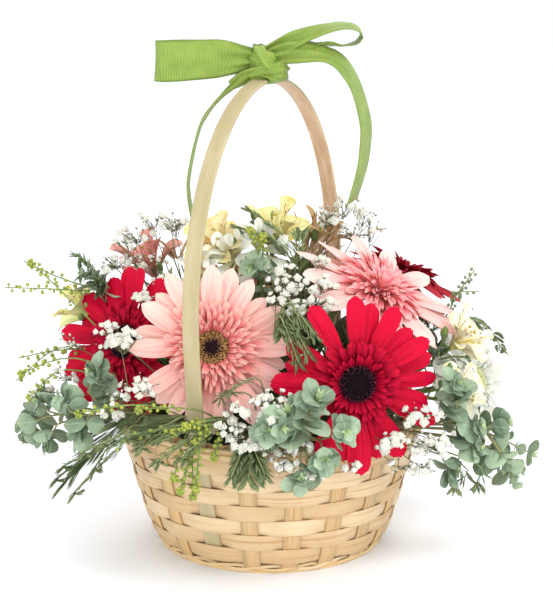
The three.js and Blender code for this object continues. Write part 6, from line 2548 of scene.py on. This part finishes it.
def round_sprigs():
    fine = seeded(7101)
    bunch, tips = Bunch(), Bunch()
    for root, tip in ROUND_SPRIGS:
        outward = Vector((tip[0], tip[1], 0)).normalized()
        line = sprig_line(root, tip, outward * 7 + AXIS_Z * 2)
        bunch.stalk(line.smooth(), 0.9, 0.5)
        for i in range(ROUND_PAIRS):
            part = i / (ROUND_PAIRS - 1)
            share = 0.52 + 0.46 * part
            point, tangent, side, up = line.at(share)
            size = 15 - 8 * part ** 1.5 + sway(fine, 2)
            turn = i * math.pi / 2 + 0.5 * next(fine)
            for sign in (1, -1):
                out = fanned(side, up, turn) * sign + tangent * between(fine, 0.25, 0.55)
                bunch.place(frame_of(point, out, tangent), size, 0, share)
        young_tip(tips, line, 4, 0.7, 4.5, 6.5, 3, 4, fine)
    form = (small_round_leaf, "round_sprig", (5, 6), 5, 0.16, 0.15)
    return keep(leafy_spray("eucalyptus_sprigs", bunch, tips, *form), "eucalyptus")


def feather_sprigs():
    fine = seeded(7201)
    bunch = Bunch()
    long, wide, high = LEAFLET
    for root, tip in FEATHER_SPRIGS:
        line = sprig_line(root, tip, AXIS_Z * -3)
        bunch.stalk(line.smooth(), 0.7, 0.3)
        pairs = round((Vector(tip) - Vector(root)).length * 1.3 / LEAFLET_SPACING)
        for i in range(pairs):
            part = i / (pairs - 1)
            size = long * (1 - 0.5 * part ** 2) * between(fine, 0.85, 1.15)
            side_pair(bunch, line, 0.4 + 0.59 * part, LEAFLET_LEAN, (size, wide, high), fine)
    return keep(bunch.grow("acacia_sprigs", [leaflet], ACACIA_FINISH, None, 5, 0.1, 0.15, 7), "acacia")


def bead_sprigs():
    fine = seeded(7301)
    bunch = Bunch()
    for root, tip in BEAD_SPRIGS:
        line = sprig_line(root, tip, AXIS_Z * -2)
        bunch.stalk(line.smooth(16), 0.7, 0.35)
        for i in range(BEADS_A_SPRIG):
            part = i / BEADS_A_SPRIG
            size = between(fine, 2.7, 3.2) - 0.8 * part
            bead(bunch, line, 0.45 + 0.54 * part, i * GOLDEN_ANGLE, size, 0.6)
    return keep(bunch.grow("bud_sprigs", [round_bud], BUD_FINISH, STEM_FINISH, 5, 0.3, 0.15, 8), "buds")


for piece in (round_sprigs(), feather_sprigs(), bead_sprigs()):
    print(piece.name, len(piece.data.polygons), "faces")

# %% [markdown]
# White blooms of the same family as the cream ones hang below them, between the highest flowers and the pink
# head. The solids leave them out, so nothing is looked up for them.

# %% White blooms behind the pink head
WHITE_BLOOMS = [
    ((-24, 10, 205), (-0.25, -0.9, 0.1), 27), ((-8, 6, 210), (0.2, -0.85, 0.2), 24),
    ((-44, 8, 196), (-0.5, -0.8, 0.1), 20),
]
WHITE_TEPALS = 12
WHITE_WIDTHS = (0.42, 0.28)
WHITE_NECK = 6
WHITE_LOOK = (screen(226, 226, 176), screen(246, 246, 236), screen(242, 240, 216), screen(224, 222, 190))


def white_bloom(bunch, at, faces, length, fine):
    frame = bloom_frame(at, faces)
    root = root_in_foam(Vector(at))
    neck = frame @ Vector((0, 0, -WHITE_NECK))
    bunch.stalk([root, root.lerp(neck, 0.6), neck, frame @ Vector((0, 0, -1))], 1.2, 1.8)
    for i in range(WHITE_TEPALS):
        inner = i % 2
        angle = 2 * math.pi * (i + 0.5 * next(fine)) / WHITE_TEPALS
        long = length * between(fine, 0.85, 1.05)
        size = (long, length * WHITE_WIDTHS[inner], long)
        lift = between(fine, -0.35, -0.1)
        petal_place(bunch, frame, angle, (TEPAL_ROOT, UPPER_HEIGHT), lift, sway(fine, 0.4), size, inner)


def white_blooms():
    fine = seeded(7351)
    bunch = Bunch()
    for row in WHITE_BLOOMS:
        white_bloom(bunch, *row, fine)
    white = tepal_finish("tepal_white", *WHITE_LOOK, streaked=False)
    blooms = bunch.grow("white_blooms", tepals, white, STEM_FINISH, 6, 0.06, 0.08, 9)
    return len(keep(blooms, "petal_cream").data.polygons)


print("white blooms:", white_blooms(), "faces")

# %% [markdown]
# Baby's breath goes in last and fills what is still open. The low clusters are dense and open, and the high
# ones are airy with more buds than flowers.

# %% More baby's breath
DENSE_BREATH = [
    (-99, -88, 164), (-102, -92, 128), (-75, -20, 191), (-89, -45, 185), (-109, -70, 170), (10, -50, 206),
    (24, -60, 195), (36, -55, 198), (4, -75, 192), (20, -75, 185), (34, -30, 209), (-5, -130, 134),
    (-19, -128, 129), (4, -132, 126), (-24, -128, 116), (-12, -130, 105), (20, -134, 104), (28, -130, 85),
    (10, -132, 91), (101, -95, 92), (53, -120, 87), (81, -110, 101), (-106, -100, 119), (-20, 110, 110),
    (64, 96, 124), (-72, 90, 122), (-30, -124, 120),
]
AIRY_BREATH = [
    (-103, 5, 215), (-86, 20, 229), (-71, 25, 228), (-96, 0, 203), (-86, 10, 202), (56, 55, 236),
    (70, 50, 229), (44, 45, 225), (77, 45, 219), (111, -92, 99), (104, -90, 78), (88, -95, 79),
    (-160, -45, 120), (-146, -50, 131), (-138, -45, 154), (120, 92, 130), (-110, 66, 150),
]


def more_breath(name, centres, reach, count, open_share, seed):
    fine = seeded(seed)
    flowers, buds = Bunch(), Bunch()
    for centre in map(Vector, centres):
        root = root_in_foam(centre)
        line = Line([root, root.lerp(centre, 0.55) + AXIS_Z * 5, centre], 4)
        flowers.stalk(line.smooth(8), 0.6, 0.3)
        cluster(flowers, buds, line.at(0.7)[0], centre, reach, count, fine, open_share)
    filling = keep(cloud(name, name, flowers, buds, seed), "breath")
    print(name, len(filling.data.polygons), "faces")


more_breath("breath_filling_dense", DENSE_BREATH, 11, 12, 0.8, 7401)
more_breath("breath_filling_airy", AIRY_BREATH, 13, 14, 0.35, 7501)

# %% [markdown]
# Two solids are kept as they are, because little of them is seen: the foam and the liner round it.
# They only get a finish with the right grain: fine open pores in the foam, and soft creases in the film.

# %% Foam and liner
def grained_finish(name, low, high, scale, roughness, distance):
    graph = Finish(name, roughness)
    place = graph.place()
    grain = noise(place, scale=scale, detail=4, roughness=0.7)
    patch = noise(place, scale=scale / 12)
    colour = mixed(spread(grain * 0.7 + patch * 0.3, 0.35, 0.65), low, high)
    return graph.shade(colour, grain, distance, 0.7)


def refinish(node, material):
    for slot in bpy.data.objects[node].material_slots:
        slot.material = material


FOAM_LOOK = (screen(44, 66, 40), screen(86, 112, 66))
FILM_LOOK = (screen(186, 192, 180), screen(214, 218, 208))
refinish("floral_foam", grained_finish("wet_foam", *FOAM_LOOK, 1400, 0.85, 0.0006))
refinish("liner", grained_finish("liner_film", *FILM_LOOK, 90, 0.35, 0.002))
print("foam and liner finished")

# %% [markdown]
# The helper shapes have done their work. They are taken away, so that only the finished pieces are left.

# %% Helper shapes away
for shape in helper_shapes:
    mesh = shape.data
    bpy.data.objects.remove(shape)
    bpy.data.meshes.remove(mesh)
print(len(helper_shapes), "helper shapes removed")

# %% [markdown]
# Last, the bounds of what is seen are set beside the bounds of the solids, and the size of what is seen is
# printed.

# %% Sizes and finish
low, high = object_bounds()
cad_low, cad_high = cad_box
{"cad": [list(cad_low), list(cad_high)], "visual": [list(low), list(high)]}
print(len(made_pieces), "pieces, and the object is", [round(1000 * (b - a)) for a, b in zip(low, high)], "mm")
